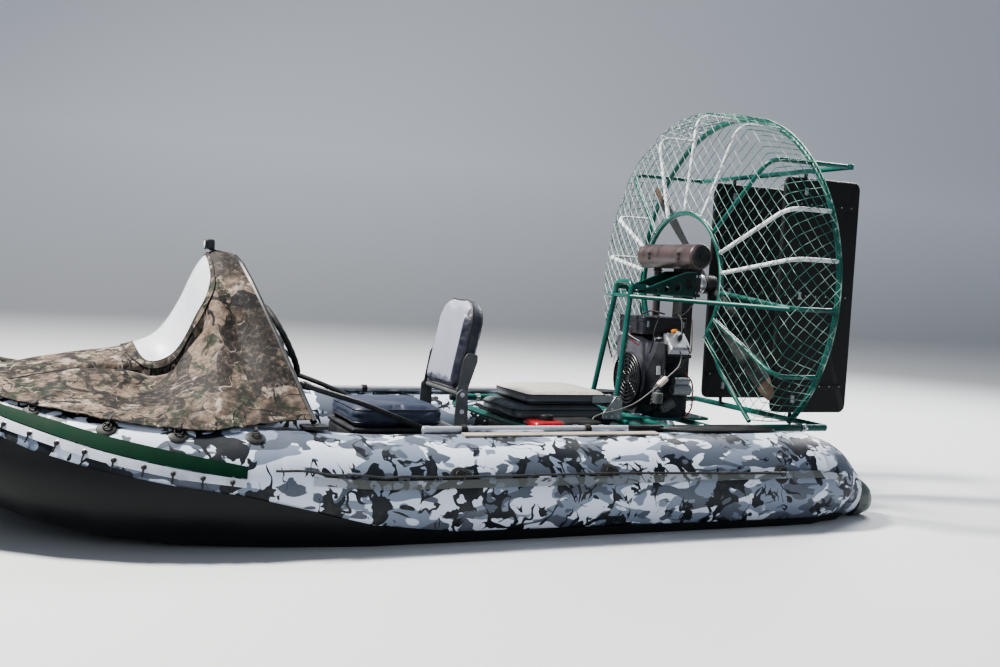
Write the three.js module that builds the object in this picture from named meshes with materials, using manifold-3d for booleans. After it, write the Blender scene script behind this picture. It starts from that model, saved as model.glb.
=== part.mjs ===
import * as THREE from "three";
import Module from "manifold-3d";
import { mergeVertices } from "three/addons/utils/BufferGeometryUtils.js";

// Inflatable twin-tube airboat: +X to the bow, +Y to port, +Z up, millimetres

// Driving dimensions
const SHIFT_X = 98.8;         // puts the origin under the middle of the whole boat
const GAP = 0.3;             // between pieces that touch
const TUBE_Y = 715;          // half the spacing of the two inflated tubes
const TUBE_R = 203.5;        // tube radius amidships
const SKIN_T = 5;            // bottom skin
const CAGE_Z = 1014;         // height of the propeller shaft
const CAGE_R = 790;          // cage tube circle
const CAGE_TUBE = 12.5;      // cage tube radius
const HOOP_X = -1697;        // rear hoop
const FRONT_X = -1471;       // front edge of the cage
const RING_X = -1431;        // small front ring
const RING_R = 328;
const LOOP_X = -1900;        // rear bar of the top loop, where the rudders pivot
const LOOP_Y = 569;
const LOOP_Z = 1573;
const RUDDER_Y = 279;
const FLOOR_Z = 40;          // top of the floor
const RAIL_Y = 522;          // deck rails of the engine frame
const RAIL_Z = 400;
const PROP_X = -1592;        // propeller plane
const PROP_R = 720;

// Tube line: x, y, z of the centre and radius, from the stern to past the middle at the bow
const TUBE = [
  { x: -1900, y: 715, z: 134, r: 84 },
  { x: -1795, y: 715, z: 168, r: 140 },
  { x: -1693, y: 715, z: 202, r: 179 },
  { x: -1593, y: 715, z: 209, r: 199 },
  { x: -1450, y: 715, z: 211, r: 203.5 },
  { x: 0, y: 715, z: 211, r: 203.5 },
  { x: 300, y: 714, z: 215, r: 203.5 },
  { x: 520, y: 709, z: 234, r: 203 },
  { x: 720, y: 698, z: 250, r: 203 },
  { x: 920, y: 672, z: 262, r: 202 },
  { x: 1110, y: 622, z: 282, r: 200 },
  { x: 1290, y: 535, z: 312, r: 197 },
  { x: 1450, y: 420, z: 352, r: 193 },
  { x: 1590, y: 285, z: 398, r: 188 },
  { x: 1710, y: 148, z: 446, r: 182 },
  { x: 1810, y: 10, z: 490, r: 176 },
  { x: 1895, y: -120, z: 528, r: 170 },
];

const wasm = await Module();
wasm.setup();

const boat = new THREE.Group();
boat.name = "airboat";

function paint(hex) {
  return new THREE.MeshStandardMaterial({ color: hex, roughness: 0.6 });
}

function add(name, geometry, hex) {
  const g = geometry.index ? geometry : mergeVertices(geometry, 1e-3);
  g.translate(SHIFT_X, 0, 0);
  const mesh = new THREE.Mesh(g, paint(hex));
  mesh.name = name;
  boat.add(mesh);
}

function bare(geometry) {
  const g = geometry.clone();
  for (const key of ["normal", "uv"]) g.deleteAttribute(key);
  return mergeVertices(g, 1e-3);
}

function toSolid(geometry) {
  const g = bare(geometry);
  return new wasm.Manifold(new wasm.Mesh({
    numProp: 3,
    vertProperties: new Float32Array(g.attributes.position.array),
    triVerts: new Uint32Array(g.index.array),
  }));
}

function fromSolid(solid) {
  const m = solid.getMesh();
  const g = new THREE.BufferGeometry();
  g.setAttribute("position", new THREE.BufferAttribute(new Float32Array(m.vertProperties), 3));
  g.setIndex(new THREE.BufferAttribute(new Uint32Array(m.triVerts), 1));
  return g;
}

function join(geometries) {
  let all = toSolid(geometries[0]);
  for (const g of geometries.slice(1)) all = all.add(toSolid(g));
  return fromSolid(all);
}

function cut(base, tools) {
  let left = toSolid(base);
  for (const g of tools) left = left.subtract(toSolid(g));
  return fromSolid(left);
}

function mirror(geometry) {
  const g = bare(geometry);
  g.scale(1, -1, 1);
  const i = g.index.array;
  for (let k = 0; k < i.length; k += 3) [i[k], i[k + 1]] = [i[k + 1], i[k]];
  return g;
}

// Block from two opposite corners
function block(lo, hi) {
  const g = new THREE.BoxGeometry(hi[0] - lo[0], hi[1] - lo[1], hi[2] - lo[2]);
  g.translate((lo[0] + hi[0]) / 2, (lo[1] + hi[1]) / 2, (lo[2] + hi[2]) / 2);
  return g;
}

// Upright slab with rounded corners in plan
function slab(lo, hi, r) {
  const w = (hi[0] - lo[0]) / 2, d = (hi[1] - lo[1]) / 2;
  const s = new THREE.Shape();
  s.moveTo(-w + r, -d);
  s.lineTo(w - r, -d);
  s.absarc(w - r, -d + r, r, -Math.PI / 2, 0);
  s.lineTo(w, d - r);
  s.absarc(w - r, d - r, r, 0, Math.PI / 2);
  s.lineTo(-w + r, d);
  s.absarc(-w + r, d - r, r, Math.PI / 2, Math.PI);
  s.lineTo(-w, -d + r);
  s.absarc(-w + r, -d + r, r, Math.PI, Math.PI * 1.5);
  const g = new THREE.ExtrudeGeometry(s, {
    depth: hi[2] - lo[2], bevelEnabled: false, curveSegments: 4,
  });
  g.translate((lo[0] + hi[0]) / 2, (lo[1] + hi[1]) / 2, lo[2]);
  return g;
}

// Round bar between two points
function rod(a, b, r, sides = 12) {
  const p = new THREE.Vector3(...a), q = new THREE.Vector3(...b);
  const g = new THREE.CylinderGeometry(r, r, p.distanceTo(q), sides);
  const turn = new THREE.Quaternion().setFromUnitVectors(
    new THREE.Vector3(0, 1, 0), q.clone().sub(p).normalize());
  g.applyQuaternion(turn);
  g.translate((p.x + q.x) / 2, (p.y + q.y) / 2, (p.z + q.z) / 2);
  return g;
}

// Closed body from rings of points, all with the same count
function loft(rings) {
  const n = rings[0].length, pos = [], idx = [];
  for (const ring of rings) for (const p of ring) pos.push(...p);
  for (let i = 0; i + 1 < rings.length; i++) {
    for (let j = 0; j < n; j++) {
      const a = i * n + j, b = i * n + (j + 1) % n;
      idx.push(a, b, a + n, b, b + n, a + n);
    }
  }
  for (const [i, flip] of [[0, true], [rings.length - 1, false]]) {
    const c = pos.length / 3;
    const mid = [0, 0, 0];
    for (const p of rings[i]) for (let k = 0; k < 3; k++) mid[k] += p[k] / n;
    pos.push(...mid);
    for (let j = 0; j < n; j++) {
      const a = i * n + j, b = i * n + (j + 1) % n;
      if (flip) idx.push(c, b, a); else idx.push(c, a, b);
    }
  }
  return outward(pos, idx);
}

function outward(pos, idx) {
  let volume = 0;
  for (let k = 0; k < idx.length; k += 3) {
    const [a, b, c] = [idx[k], idx[k + 1], idx[k + 2]].map((i) =>
      new THREE.Vector3(pos[3 * i], pos[3 * i + 1], pos[3 * i + 2]));
    volume += a.dot(b.cross(c));
  }
  if (volume < 0) {
    for (let k = 0; k < idx.length; k += 3) [idx[k], idx[k + 1]] = [idx[k + 1], idx[k]];
  }
  const g = new THREE.BufferGeometry();
  g.setAttribute("position", new THREE.Float32BufferAttribute(pos, 3));
  g.setIndex(idx);
  return g;
}

// Round pipe along a line of points with frames carried along it
function pipe(points, r, sides = 8, closed = false) {
  const p = points.map((q) => new THREE.Vector3(...q));
  const n = p.length;
  const tan = p.map((_, i) => {
    const a = p[closed ? (i + n - 1) % n : Math.max(i - 1, 0)];
    const b = p[closed ? (i + 1) % n : Math.min(i + 1, n - 1)];
    return b.clone().sub(a).normalize();
  });
  let side = new THREE.Vector3(0, 0, 1);
  if (Math.abs(tan[0].z) > 0.9) side.set(1, 0, 0);
  const rings = p.map((c, i) => {
    side = side.clone().sub(tan[i].clone().multiplyScalar(side.dot(tan[i]))).normalize();
    const up = tan[i].clone().cross(side);
    return Array.from({ length: sides }, (_, k) => {
      const t = (2 * Math.PI * (k + 0.5)) / sides;
      return c.clone().addScaledVector(side, r * Math.cos(t)).addScaledVector(up, r * Math.sin(t))
        .toArray();
    });
  });
  if (!closed) return loft(rings);
  const pos = rings.flat(2), idx = [];
  for (let i = 0; i < n; i++) {
    const m = (i + 1) % n;
    for (let j = 0; j < sides; j++) {
      const k = (j + 1) % sides;
      idx.push(i * sides + j, i * sides + k, m * sides + j);
      idx.push(i * sides + k, m * sides + k, m * sides + j);
    }
  }
  return outward(pos, idx);
}

// Line with its corners rounded by short steps
function bend(points, r, steps = 3) {
  const out = [points[0]];
  for (let i = 1; i + 1 < points.length; i++) {
    const a = new THREE.Vector3(...points[i - 1]), b = new THREE.Vector3(...points[i]);
    const c = new THREE.Vector3(...points[i + 1]);
    const u = a.clone().sub(b), v = c.clone().sub(b);
    const d = Math.min(r, u.length() * 0.45, v.length() * 0.45);
    const p = b.clone().addScaledVector(u.normalize(), d);
    const q = b.clone().addScaledVector(v.normalize(), d);
    for (let k = 0; k <= steps; k++) {
      const t = k / steps;
      out.push(p.clone().multiplyScalar((1 - t) ** 2).addScaledVector(b, 2 * t * (1 - t))
        .addScaledVector(q, t * t).toArray());
    }
  }
  out.push(points[points.length - 1]);
  return out;
}

// Tube frame at a place along TUBE (u counts its rows): centre, outward, upward and radius
function tubeAt(u) {
  const i = Math.min(Math.floor(u), TUBE.length - 2), f = u - i;
  const a = TUBE[i], b = TUBE[i + 1];
  const mix = (k) => a[k] * (1 - f) + b[k] * f;
  const dir = (j) => {
    const p = TUBE[Math.max(j - 1, 0)], q = TUBE[Math.min(j + 1, TUBE.length - 1)];
    return new THREE.Vector3(q.x - p.x, q.y - p.y, q.z - p.z).normalize();
  };
  const t = dir(i).multiplyScalar(1 - f).addScaledVector(dir(i + 1), f).normalize();
  const out = new THREE.Vector3(-t.y, t.x, 0).normalize();
  const up = t.clone().cross(out).normalize();
  return { c: new THREE.Vector3(mix("x"), mix("y"), mix("z")), out, up, r: mix("r") };
}

function onTube(u, degrees, lift) {
  const s = tubeAt(u), t = THREE.MathUtils.degToRad(degrees);
  return s.c.clone().addScaledVector(s.out, (s.r + lift) * Math.cos(t))
    .addScaledVector(s.up, (s.r + lift) * Math.sin(t)).toArray();
}

// Inflated tubes
const tubeRows = TUBE.map((_, i) => i);
const tubeBody = loft(tubeRows.map((u) =>
  Array.from({ length: 24 }, (_, k) => onTube(u, 15 * k, 0))));
const portSide = block([-1873, 1, -100], [3000, 2000, 2500]);
const tubePort = fromSolid(toSolid(tubeBody).intersect(toSolid(portSide)));
add("tube_port", tubePort.clone(), 0x9fb2c4);
add("tube_starboard", mirror(tubePort), 0x9fb2c4);

// Stern caps over the small ends of the tubes
const cupRings = [
  { x: -1873 - GAP, y: 715, z: 142, r: 98 },
  { x: -1925, y: 715, z: 132, r: 84 },
  { x: -1965, y: 715, z: 124, r: 66 },
  { x: -1985, y: 715, z: 120, r: 42 },
].map((s) => Array.from({ length: 20 }, (_, k) => {
  const t = (Math.PI * k) / 10;
  return [s.x, s.y + s.r * Math.cos(t), s.z + s.r * Math.sin(t)];
}));
add("stern_cap_port", loft(cupRings), 0x1c2420);
add("stern_cap_starboard", mirror(loft(cupRings)), 0x1c2420);

// Bottom skin: from one tube's side, under it, along the flat or the keel, to the other side
const SKIN_STEPS = 12;
const SKIN_LIFT = 2.3;          // keeps the skin's flats clear of the round tube
const EDGE = [-38, -38, -38, -38, -38, -33, -22, -10, 0, 6, 12, 19, 27, 33, 36];
function keelZ(x) {
  const line = [[1235, 0], [1275, 22], [1473, 146], [1560, 196], [1680, 258], [1800, 318]];
  if (x <= line[0][0]) return 0;
  for (let i = 0; i + 1 < line.length; i++) {
    if (x <= line[i + 1][0]) {
      const f = (x - line[i][0]) / (line[i + 1][0] - line[i][0]);
      return line[i][1] * (1 - f) + line[i + 1][1] * f;
    }
  }
  return 318;
}
function skinHalf(u, lift, drop) {
  const s = tubeAt(u), radius = s.r + lift;
  const t = new THREE.Vector3().crossVectors(s.out, s.up);
  let x = s.c.x;
  for (let k = 0; k < 4; k++) x = s.c.x + (s.c.y * t.y - (keelZ(x) - s.c.z) * t.z) / t.x;
  const keel = new THREE.Vector3(x, 0, keelZ(x) + drop);
  const d = keel.clone().sub(s.c);
  const h = d.dot(s.out), v = d.dot(s.up);
  let leave = Math.atan2(v, h) + Math.acos(Math.min(1, radius / Math.hypot(h, v)));
  if (leave > 0) leave -= 2 * Math.PI;
  const edge = THREE.MathUtils.degToRad(EDGE[u]);
  const pts = [];
  for (let k = 0; k <= SKIN_STEPS; k++) {
    const a = edge + ((leave - edge) * k) / SKIN_STEPS;
    pts.push(s.c.clone().addScaledVector(s.out, radius * Math.cos(a))
      .addScaledVector(s.up, radius * Math.sin(a)));
  }
  pts.push(pts[SKIN_STEPS].clone().lerp(keel, 0.5), keel);
  return pts.map((q) => q.toArray());
}
const skinRings = EDGE.map((_, u) => u).filter((u) => u > 0).map((u) => {
  const line = (lift, drop) => {
    const half = skinHalf(u, lift, drop);
    const other = half.slice(0, -1).reverse().map(([x, y, z]) => [x, -y, z]);
    return [...half, ...other];
  };
  return [...line(SKIN_LIFT + SKIN_T, 0), ...line(SKIN_LIFT, SKIN_T).reverse()];
});
function ribbonBody(rings) {
  // rings run out along the outer line and back along the inner one
  const n = rings[0].length, half = n / 2, pos = rings.flat(2), idx = [];
  for (let i = 0; i + 1 < rings.length; i++) {
    for (let j = 0; j < n; j++) {
      const a = i * n + j, b = i * n + (j + 1) % n;
      idx.push(a, b, a + n, b, b + n, a + n);
    }
  }
  for (const [i, flip] of [[0, true], [rings.length - 1, false]]) {
    for (let j = 0; j + 1 < half; j++) {
      const a = i * n + j, b = a + 1, c = i * n + n - 1 - j, d = c - 1;
      const quad = [a, b, c, b, d, c];
      idx.push(...(flip ? [b, a, c, d, b, c] : quad));
    }
  }
  return outward(pos, idx);
}
add("bottom_skin", ribbonBody(skinRings), 0x16181a);

// Bands on the tube: rows of u with the angle of the lower and the upper edge
function band(rows, thick, lift) {
  const body = ribbonBody(rows.map(([u, lower, upper]) => {
    const line = (h) => Array.from({ length: 5 }, (_, k) =>
      onTube(u, lower + ((upper - lower) * k) / 4, h));
    return [...line(lift + thick), ...line(lift).reverse()];
  }));
  return fromSolid(toSolid(body).intersect(toSolid(portSide)));
}
const greenRows = [
  [8, 15.5, 26.5], [9, 22, 36], [10, 30, 44.5], [11, 38.5, 52.5], [12, 44, 55], [13, 46, 57],
  [14, 48, 57], [15, 49, 57], [16, 49, 57],
];
const whiteRows = [
  [8, 7.5, 14.5], [9, 12.5, 21], [10, 20, 29], [11, 28.5, 37.5], [12, 33, 43], [13, 37, 45],
  [14, 39, 47], [15, 40, 48], [16, 40, 48],
];
const strakeRows = [
  [2, 10, 18], [3, 12, 20], [4, 13, 21], [5, 13, 21], [6, 13, 21], [7, 13, 21],
];
const bands = [
  { name: "bow_band", rows: greenRows, thick: 3, lift: 1.4, hex: 0x123a2a },
  { name: "lacing_strip", rows: whiteRows, thick: 3, lift: 1.4, hex: 0xb8bcc4 },
  { name: "rub_strake", rows: strakeRows, thick: 10, lift: 0.6, hex: 0x555b60 },
];
for (const b of bands) {
  add(`${b.name}_port`, band(b.rows, b.thick, b.lift), b.hex);
  add(`${b.name}_starboard`, mirror(band(b.rows, b.thick, b.lift)), b.hex);
}

// Floor between the tubes
add("floor_board", join([block([-1440, -500, SKIN_T + GAP], [0, 500, FLOOR_Z]),
  block([-1440, -440, 26], [560, 440, FLOOR_Z])]), 0x5a5f62);

// Points of the bow cover are kept clear of the tubes
function clearOfTubes(p, gap) {
  const q = new THREE.Vector3(p[0], Math.abs(p[1]), p[2]);
  let best = null;
  for (let u = 3; u <= 15; u += 0.05) {
    const s = tubeAt(u), d = q.distanceTo(s.c) - s.r;
    if (!best || d < best.d) best = { d, s };
  }
  if (best.d < gap) {
    const away = q.clone().sub(best.s.c).normalize();
    q.copy(best.s.c).addScaledVector(away, best.s.r + gap);
  }
  return [q.x, Math.sign(p[1]) * q.y, q.z];
}

// Cover stations from the arch to the nose; each is a curve over the ridge, through the shoulder
// beside the window and the fold where the side turns, down to the hem
const hemOn = (u) => [...onTube(u, 61, 14)];
const COVER = [
  { ridge: [665, 1030], shoulder: [635, 218, 935], fold: [574, 424, 744], hem: [487, 705, 470] },
  { ridge: [735, 1036], shoulder: [708, 214, 930], fold: [664, 430, 728], hem: [650, 742, 462] },
  { ridge: [768, 1010], shoulder: [757, 204, 898], fold: [764, 428, 672], hem: hemOn(8.65) },
  { ridge: [800, 960], shoulder: [800, 200, 823], fold: [850, 318, 648], hem: hemOn(9.3) },
  { ridge: [860, 830], shoulder: [862, 200, 678], fold: [906, 332, 578], hem: hemOn(9.8) },
  { ridge: [946, 705], shoulder: [946, 200, 620], fold: [978, 334, 554], hem: hemOn(10.35) },
  { ridge: [1066, 655], shoulder: [1066, 198, 617], fold: [1085, 318, 576], hem: hemOn(10.95) },
  { ridge: [1264, 622], shoulder: [1262, 190, 602], fold: [1260, 300, 578], hem: hemOn(11.6) },
  { ridge: [1485, 580], shoulder: [1475, 160, 566], fold: [1462, 262, 552], hem: hemOn(12.3) },
  { ridge: [1640, 592], shoulder: [1632, 130, 588], fold: [1618, 220, 584], hem: hemOn(13.1) },
  { ridge: [1790, 640], shoulder: [1782, 66, 639], fold: [1762, 112, 637], hem: [1700, 170, 634] },
  { ridge: [1880, 690], shoulder: [1874, 25, 689], fold: [1862, 42, 687], hem: [1830, 60, 684] },
];
const ACROSS = 4;              // cells between two of a station's points
function coverGrid(gap) {
  const flip = ([x, y, z]) => [x, -y, z];
  const curve = (points, cells) => {
    const line = new THREE.CatmullRomCurve3(points.map((p) => new THREE.Vector3(...p)));
    return line.getPoints(cells).map((p) => p.toArray());
  };
  const stations = COVER.map(({ ridge, shoulder, fold, hem }) => {
    const half = [shoulder, fold, hem];
    const line = [...half.map(flip).reverse(), [ridge[0], 0, ridge[1]], ...half];
    return curve(line, 6 * ACROSS);
  });
  const columns = stations[0].map((_, k) => curve(stations.map((s) => s[k]), 2 * COVER.length - 2));
  return columns[0].map((_, i) => columns.map((column) => clearOfTubes(column[i], gap)));
}

// Sheet of even thickness on a grid, keeping the cells that keep() says
function sheet(grid, thick, keep, lift = 0) {
  const rows = grid.length, cols = grid[0].length;
  const P = grid.map((row) => row.map((p) => new THREE.Vector3(...p)));
  const N = P.map((row, i) => row.map((_, j) => {
    const a = P[Math.max(i - 1, 0)][j], b = P[Math.min(i + 1, rows - 1)][j];
    const c = P[i][Math.max(j - 1, 0)], d = P[i][Math.min(j + 1, cols - 1)];
    const n = b.clone().sub(a).cross(d.clone().sub(c)).normalize();
    return n.z < 0 ? n.negate() : n;
  }));
  const pos = [], idx = [];
  for (const h of [lift + thick, lift]) {
    for (let i = 0; i < rows; i++) {
      for (let j = 0; j < cols; j++) {
        pos.push(...P[i][j].clone().addScaledVector(N[i][j], h).toArray());
      }
    }
  }
  const on = (i, j) => i >= 0 && j >= 0 && i + 1 < rows && j + 1 < cols && keep(i, j);
  const m = rows * cols;
  const wall = (a, b) => idx.push(a, b, a + m, b, b + m, a + m);
  for (let i = 0; i + 1 < rows; i++) {
    for (let j = 0; j + 1 < cols; j++) {
      if (!on(i, j)) continue;
      const a = i * cols + j, b = a + 1, c = a + cols, d = c + 1;
      idx.push(a, b, d, a, d, c, a + m, d + m, b + m, a + m, c + m, d + m);
      if (!on(i - 1, j)) wall(b, a);
      if (!on(i + 1, j)) wall(c, d);
      if (!on(i, j - 1)) wall(a, c);
      if (!on(i, j + 1)) wall(d, b);
    }
  }
  return outward(pos, idx);
}
const used = (g) => {
  // drops points that no triangle uses
  const map = new Map(), pos = [], idx = [];
  const p = g.attributes.position.array;
  for (const i of g.index.array) {
    if (!map.has(i)) {
      map.set(i, pos.length / 3);
      pos.push(p[3 * i], p[3 * i + 1], p[3 * i + 2]);
    }
    idx.push(map.get(i));
  }
  return outward(pos, idx);
};
const windowCell = (i, j) => i >= 5 && i <= 9 && j >= 9 && j <= 14;
const cover = coverGrid(11.6);
add("bow_cover", used(sheet(cover, 4, (i, j) => !windowCell(i, j))), 0x6f6a58);
add("windscreen", used(sheet(cover, 3, (i, j) => i >= 4 && i <= 10 && j >= 8 && j <= 15, 4.5)),
  0xdfe6ea);

// Arch that holds the cover's aft edge, with its feet on the tubes
const archLine = cover[0].filter((_, k) => k % 2 === 0).map(([x, y, z]) =>
  [x - 16, y * 0.965, z - 14]);
const archFeet = [[474, -692, 458.2], ...archLine.slice(1, -1), [474, 692, 458.2]];
add("cover_arch", pipe(archFeet, 12, 8), 0x1a1c1e);
const padAt = (y) => slab([430, y - 40, 438.5], [520, y + 40, 449], 12);
add("arch_foot_port", padAt(700), 0x1a1c1e);
add("arch_foot_starboard", padAt(-700), 0x1a1c1e);
add("top_lamp", join([slab([690, -26, 1040.2], [748, 26, 1082], 8),
  rod([745, 0, 1062], [756, 0, 1062], 17, 16)]), 0x101214);

// Steering: column down into the bow, wheel on its upper end
const WHEEL = [458, 0, 690];
const COL = new THREE.Vector3(0.887, 0, -0.46).normalize();
function alongColumn(d) {
  return new THREE.Vector3(...WHEEL).addScaledVector(COL, d).toArray();
}
function towardColumn(g) {
  g.applyQuaternion(new THREE.Quaternion().setFromUnitVectors(new THREE.Vector3(0, 0, 1), COL));
  g.translate(...WHEEL);
  return g;
}
const rim = towardColumn(new THREE.TorusGeometry(152, 13, 8, 28));
const spokes = [90, 210, 330].map((a) => {
  const t = THREE.MathUtils.degToRad(a);
  return towardColumn(rod([0, 0, 18], [148 * Math.cos(t), 148 * Math.sin(t), 0], 8, 8));
});
const wheelHub = rod(alongColumn(-6), alongColumn(34), 34, 16);
add("steering_wheel", join([rim, wheelHub, ...spokes]), 0x17191b);
const post = block([515, -30, FLOOR_Z + GAP], [555, 30, 640]);
add("steering_column", join([rod(alongColumn(34 + GAP), alongColumn(150), 22, 14), post]), 0x202326);

// Black bars from the arch feet back to the driver's seat
const barLine = [[496, 553, 576], [210, 409, 485], [-170, 210.2, 333]];
add("brace_bar_port", pipe(barLine, 11, 8), 0x15171a);
add("brace_bar_starboard", mirror(pipe(barLine, 11, 8)), 0x15171a);

// Driver's seat: box, cushion, folding back and its side brackets
add("driver_seat_box", block([-250, -200, FLOOR_Z + GAP], [190, 200, 360]), 0x23272b);
add("driver_seat_cushion", slab([-215, -215, 360 + GAP], [205, 215, 452], 40), 0x2a3242);
const BACK = { x: -262, z: 500, pin: 8, lean: -7 };
const seatBack = cut(slab([-45, -200, -25], [35, 200, 410], 30),
  [rod([0, -300, 0], [0, 300, 0], BACK.pin + 0.5)]);
seatBack.rotateY(THREE.MathUtils.degToRad(BACK.lean));
seatBack.translate(BACK.x, 0, BACK.z);
add("driver_seat_back", seatBack, 0x1f2740);
const bracket = (y) => block([-285, y - 4, 340], [-240, y + 4, BACK.z + 20]);
add("driver_seat_bracket", join([bracket(-221), bracket(221), rod([BACK.x, -225, BACK.z],
  [BACK.x, 225, BACK.z], BACK.pin), block([-285, -225, 340], [-250 - GAP, 225, 352])]), 0x777b80);

// Second seat, folded down, on a box ahead of the engine
add("second_seat_box", block([-1000, -190, FLOOR_Z + GAP], [-560, 190, 395]), 0x23272b);
add("second_seat_cushion", slab([-975, -212, 395 + GAP], [-500, 212, 448], 40), 0x22262c);
const FOLD = { x: -1003, z: 487, pin: 6 };
const foldPad = slab([-990, -210, 455], [-525, 210, 520], 9);
const foldLugs = [-1, 1].map((s) =>
  block([FOLD.x - 12, s * 150 - 16, FOLD.z - 12], [-985, s * 150 + 16, FOLD.z + 12]));
const foldPin = (extra) => rod([FOLD.x, -225, FOLD.z], [FOLD.x, 225, FOLD.z], FOLD.pin + extra);
add("second_seat_back", cut(join([foldPad, ...foldLugs]), [foldPin(0.5)]), 0x565d63);
const hinge = (y) => block([-1025, y - 4, 395 + GAP], [-930, y + 4, 500]);
add("second_seat_hinge", join([hinge(-221), hinge(221), foldPin(0),
  block([-1000, -225, 395 + GAP], [-980, 225, 405])]), 0x8b9096);

// Fuel can beside the second seat box
add("fuel_tank", slab([-860, 216, FLOOR_Z + GAP], [-540, 366, 405], 30), 0xa01818);

// Paddles along the tubes
const paddleParts = () => {
  const shaft = rod([60, 655, 421.6], [-960, 655, 421.6], 15, 12);
  const blade = slab([-1500, 575, 415], [-950, 735, 429], 60);
  return join([shaft, blade]);
};
add("paddle_port", paddleParts(), 0x8f959a);
add("paddle_starboard", mirror(paddleParts()), 0x8f959a);

// Engine frame: rails, crossbars and legs
const frameParts = [];
for (const y of [-RAIL_Y, RAIL_Y]) {
  frameParts.push(rod([-1907, y, RAIL_Z], [-500, y, RAIL_Z], 16, 12));
}
const CROSSBARS = [
  { x: -1907, z: RAIL_Z }, { x: -1400, z: 378 }, { x: -1190, z: 378 }, { x: -1060, z: 378 },
  { x: -520, z: 372 },
];
for (const c of CROSSBARS) {
  frameParts.push(rod([c.x, -RAIL_Y, c.z], [c.x, RAIL_Y, c.z], 14, 12));
}
for (const x of [-1400, -1060, -520]) {
  for (const y of [-440, 440]) frameParts.push(rod([x, y, 380], [x, y, FLOOR_Z + GAP], 13, 10));
}
for (const y of [-125, 125]) {
  frameParts.push(block([-1540, y - 20, 378], [-1030, y + 20, 392]));
}
frameParts.push(block([-1540, -130, 380], [-1455, 130, 392]));
add("engine_frame", join(frameParts), 0x1d5a3c);

// Front hoop ahead of the engine
const hoopLine = bend([
  [-1047, 122, 394], [-1100, 108, 945], [-1165, 75, 990], [-1165, -75, 990],
  [-1100, -108, 945], [-1047, -122, 394],
], 60);
add("front_hoop", join([pipe(hoopLine, 12.5, 8), rod([-1100, -108, 945], [-1100, 108, 945], 10, 8)]),
  0x1d5a3c);

// Engine: crankcase with two finned cylinders at 45 degrees, behind the fan's housing
const ENGINE = { front: -1245, aft: -1400, base: 392, side: 135, barrelX: -1302 };
const V_FOOT = [0, 540];       // y and z where the two cylinders' lines meet
function alongV(d, across, x) {
  // a point d from the foot along the port cylinder and so far across it, upward
  const s = Math.SQRT1_2;
  return [x, V_FOOT[0] + s * (d - across), V_FOOT[1] + s * (d + across)];
}
function vPlate(d0, d1, halfX, halfAcross) {
  const ring = (d) => [[1, 1], [-1, 1], [-1, -1], [1, -1]].map(([sx, sa]) =>
    alongV(d, sa * halfAcross, ENGINE.barrelX + sx * halfX));
  return loft([ring(d0), ring(d1)]);
}
const barrel = [vPlate(60, 262, 40, 40)];
for (let d = 158; d < 240; d += 13) barrel.push(vPlate(d, d + 5, 56, 58));
barrel.push(vPlate(240, 262, 54, 52));
const barrels = join(barrel);
add("engine_block", join([
  block([ENGINE.aft, -ENGINE.side, ENGINE.base + GAP], [ENGINE.front - GAP, ENGINE.side, 600]),
  block([ENGINE.aft, -70, 590], [ENGINE.front - GAP, 70, 770]),
  block([-1398, -138, 560], [-1358, -84, 772.9]),
  barrels, mirror(barrels),
]), 0x2b2e31);
// fan housing outline, half of it: y and z on the front, then on the wider back
const HOUSING = [[60, 402, 95, 402], [92, 450, 150, 440], [106, 543, 188, 530],
  [128, 650, 205, 650], [146, 745, 200, 735], [90, 758, 120, 768]];
const housingRing = (x, first, grow) => {
  const half = HOUSING.map((row) => [row[first] + grow, row[first + 1]]);
  return [...half.map(([y, z]) => [x, y, z]),
    ...half.reverse().map(([y, z]) => [x, -y, z])];
};
const FAN = { z: 560, front: -1178, r: 122 };
add("fan_shroud", join([
  loft([housingRing(-1186, 0, 0), housingRing(-1238, 2, 0)]),
  loft([housingRing(-1236, 2, 8), housingRing(ENGINE.front, 2, 8)]),
  rod([-1190, 0, FAN.z], [FAN.front, 0, FAN.z], 134, 32),
]), 0x191b1d);
const grille = [rod([FAN.front + GAP, 0, FAN.z], [FAN.front + 5, 0, FAN.z], FAN.r, 32)];
for (const r of [30, 60, 90, 118]) {
  const ring = new THREE.TorusGeometry(r, 4, 5, 24);
  ring.rotateY(Math.PI / 2);
  ring.translate(FAN.front + 6, 0, FAN.z);
  grille.push(ring);
}
for (let k = 0; k < 12; k++) {
  const a = (k * Math.PI) / 6 + 0.1, y = Math.cos(a), z = Math.sin(a);
  grille.push(rod([FAN.front + 6, 26 * y, FAN.z + 26 * z],
    [FAN.front + 6, 118 * y, FAN.z + 118 * z], 3, 6));
}
add("fan_grille", join(grille), 0x26292c);
add("air_box", slab([-1390, -80, 770 + GAP], [-1155, 148, 852], 20), 0x1d1f22);
const valve = join([vPlate(262 + GAP, 292, 52, 50), vPlate(290, 305, 46, 42)]);
const cap = rod(alongV(303, 24, -1306), alongV(322, 24, -1306), 15, 14);
add("valve_cover_port", join([valve, cap]), 0xb9bcc0);
add("valve_cover_starboard", mirror(valve), 0xb9bcc0);
const beside = (r) => ENGINE.side + GAP + r;
add("starter", join([rod([-1410, beside(25), 522], [-1316, beside(25), 522], 25, 16),
  rod([-1402, beside(25), 562], [-1324, beside(25), 562], 19, 14)]), 0xa7abaf);
add("oil_filter", rod([-1326, beside(24), 464], [-1262, beside(24), 432], 24, 16), 0x6f7376);

// Muffler across the top, on its pipe
add("muffler", join([rod([-1357, 310, 1135], [-1357, -240, 1135], 57, 20),
  rod([-1375, -115, 1100], [-1378, -115, 773.2], 18, 12)]), 0x4b3c33);

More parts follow.
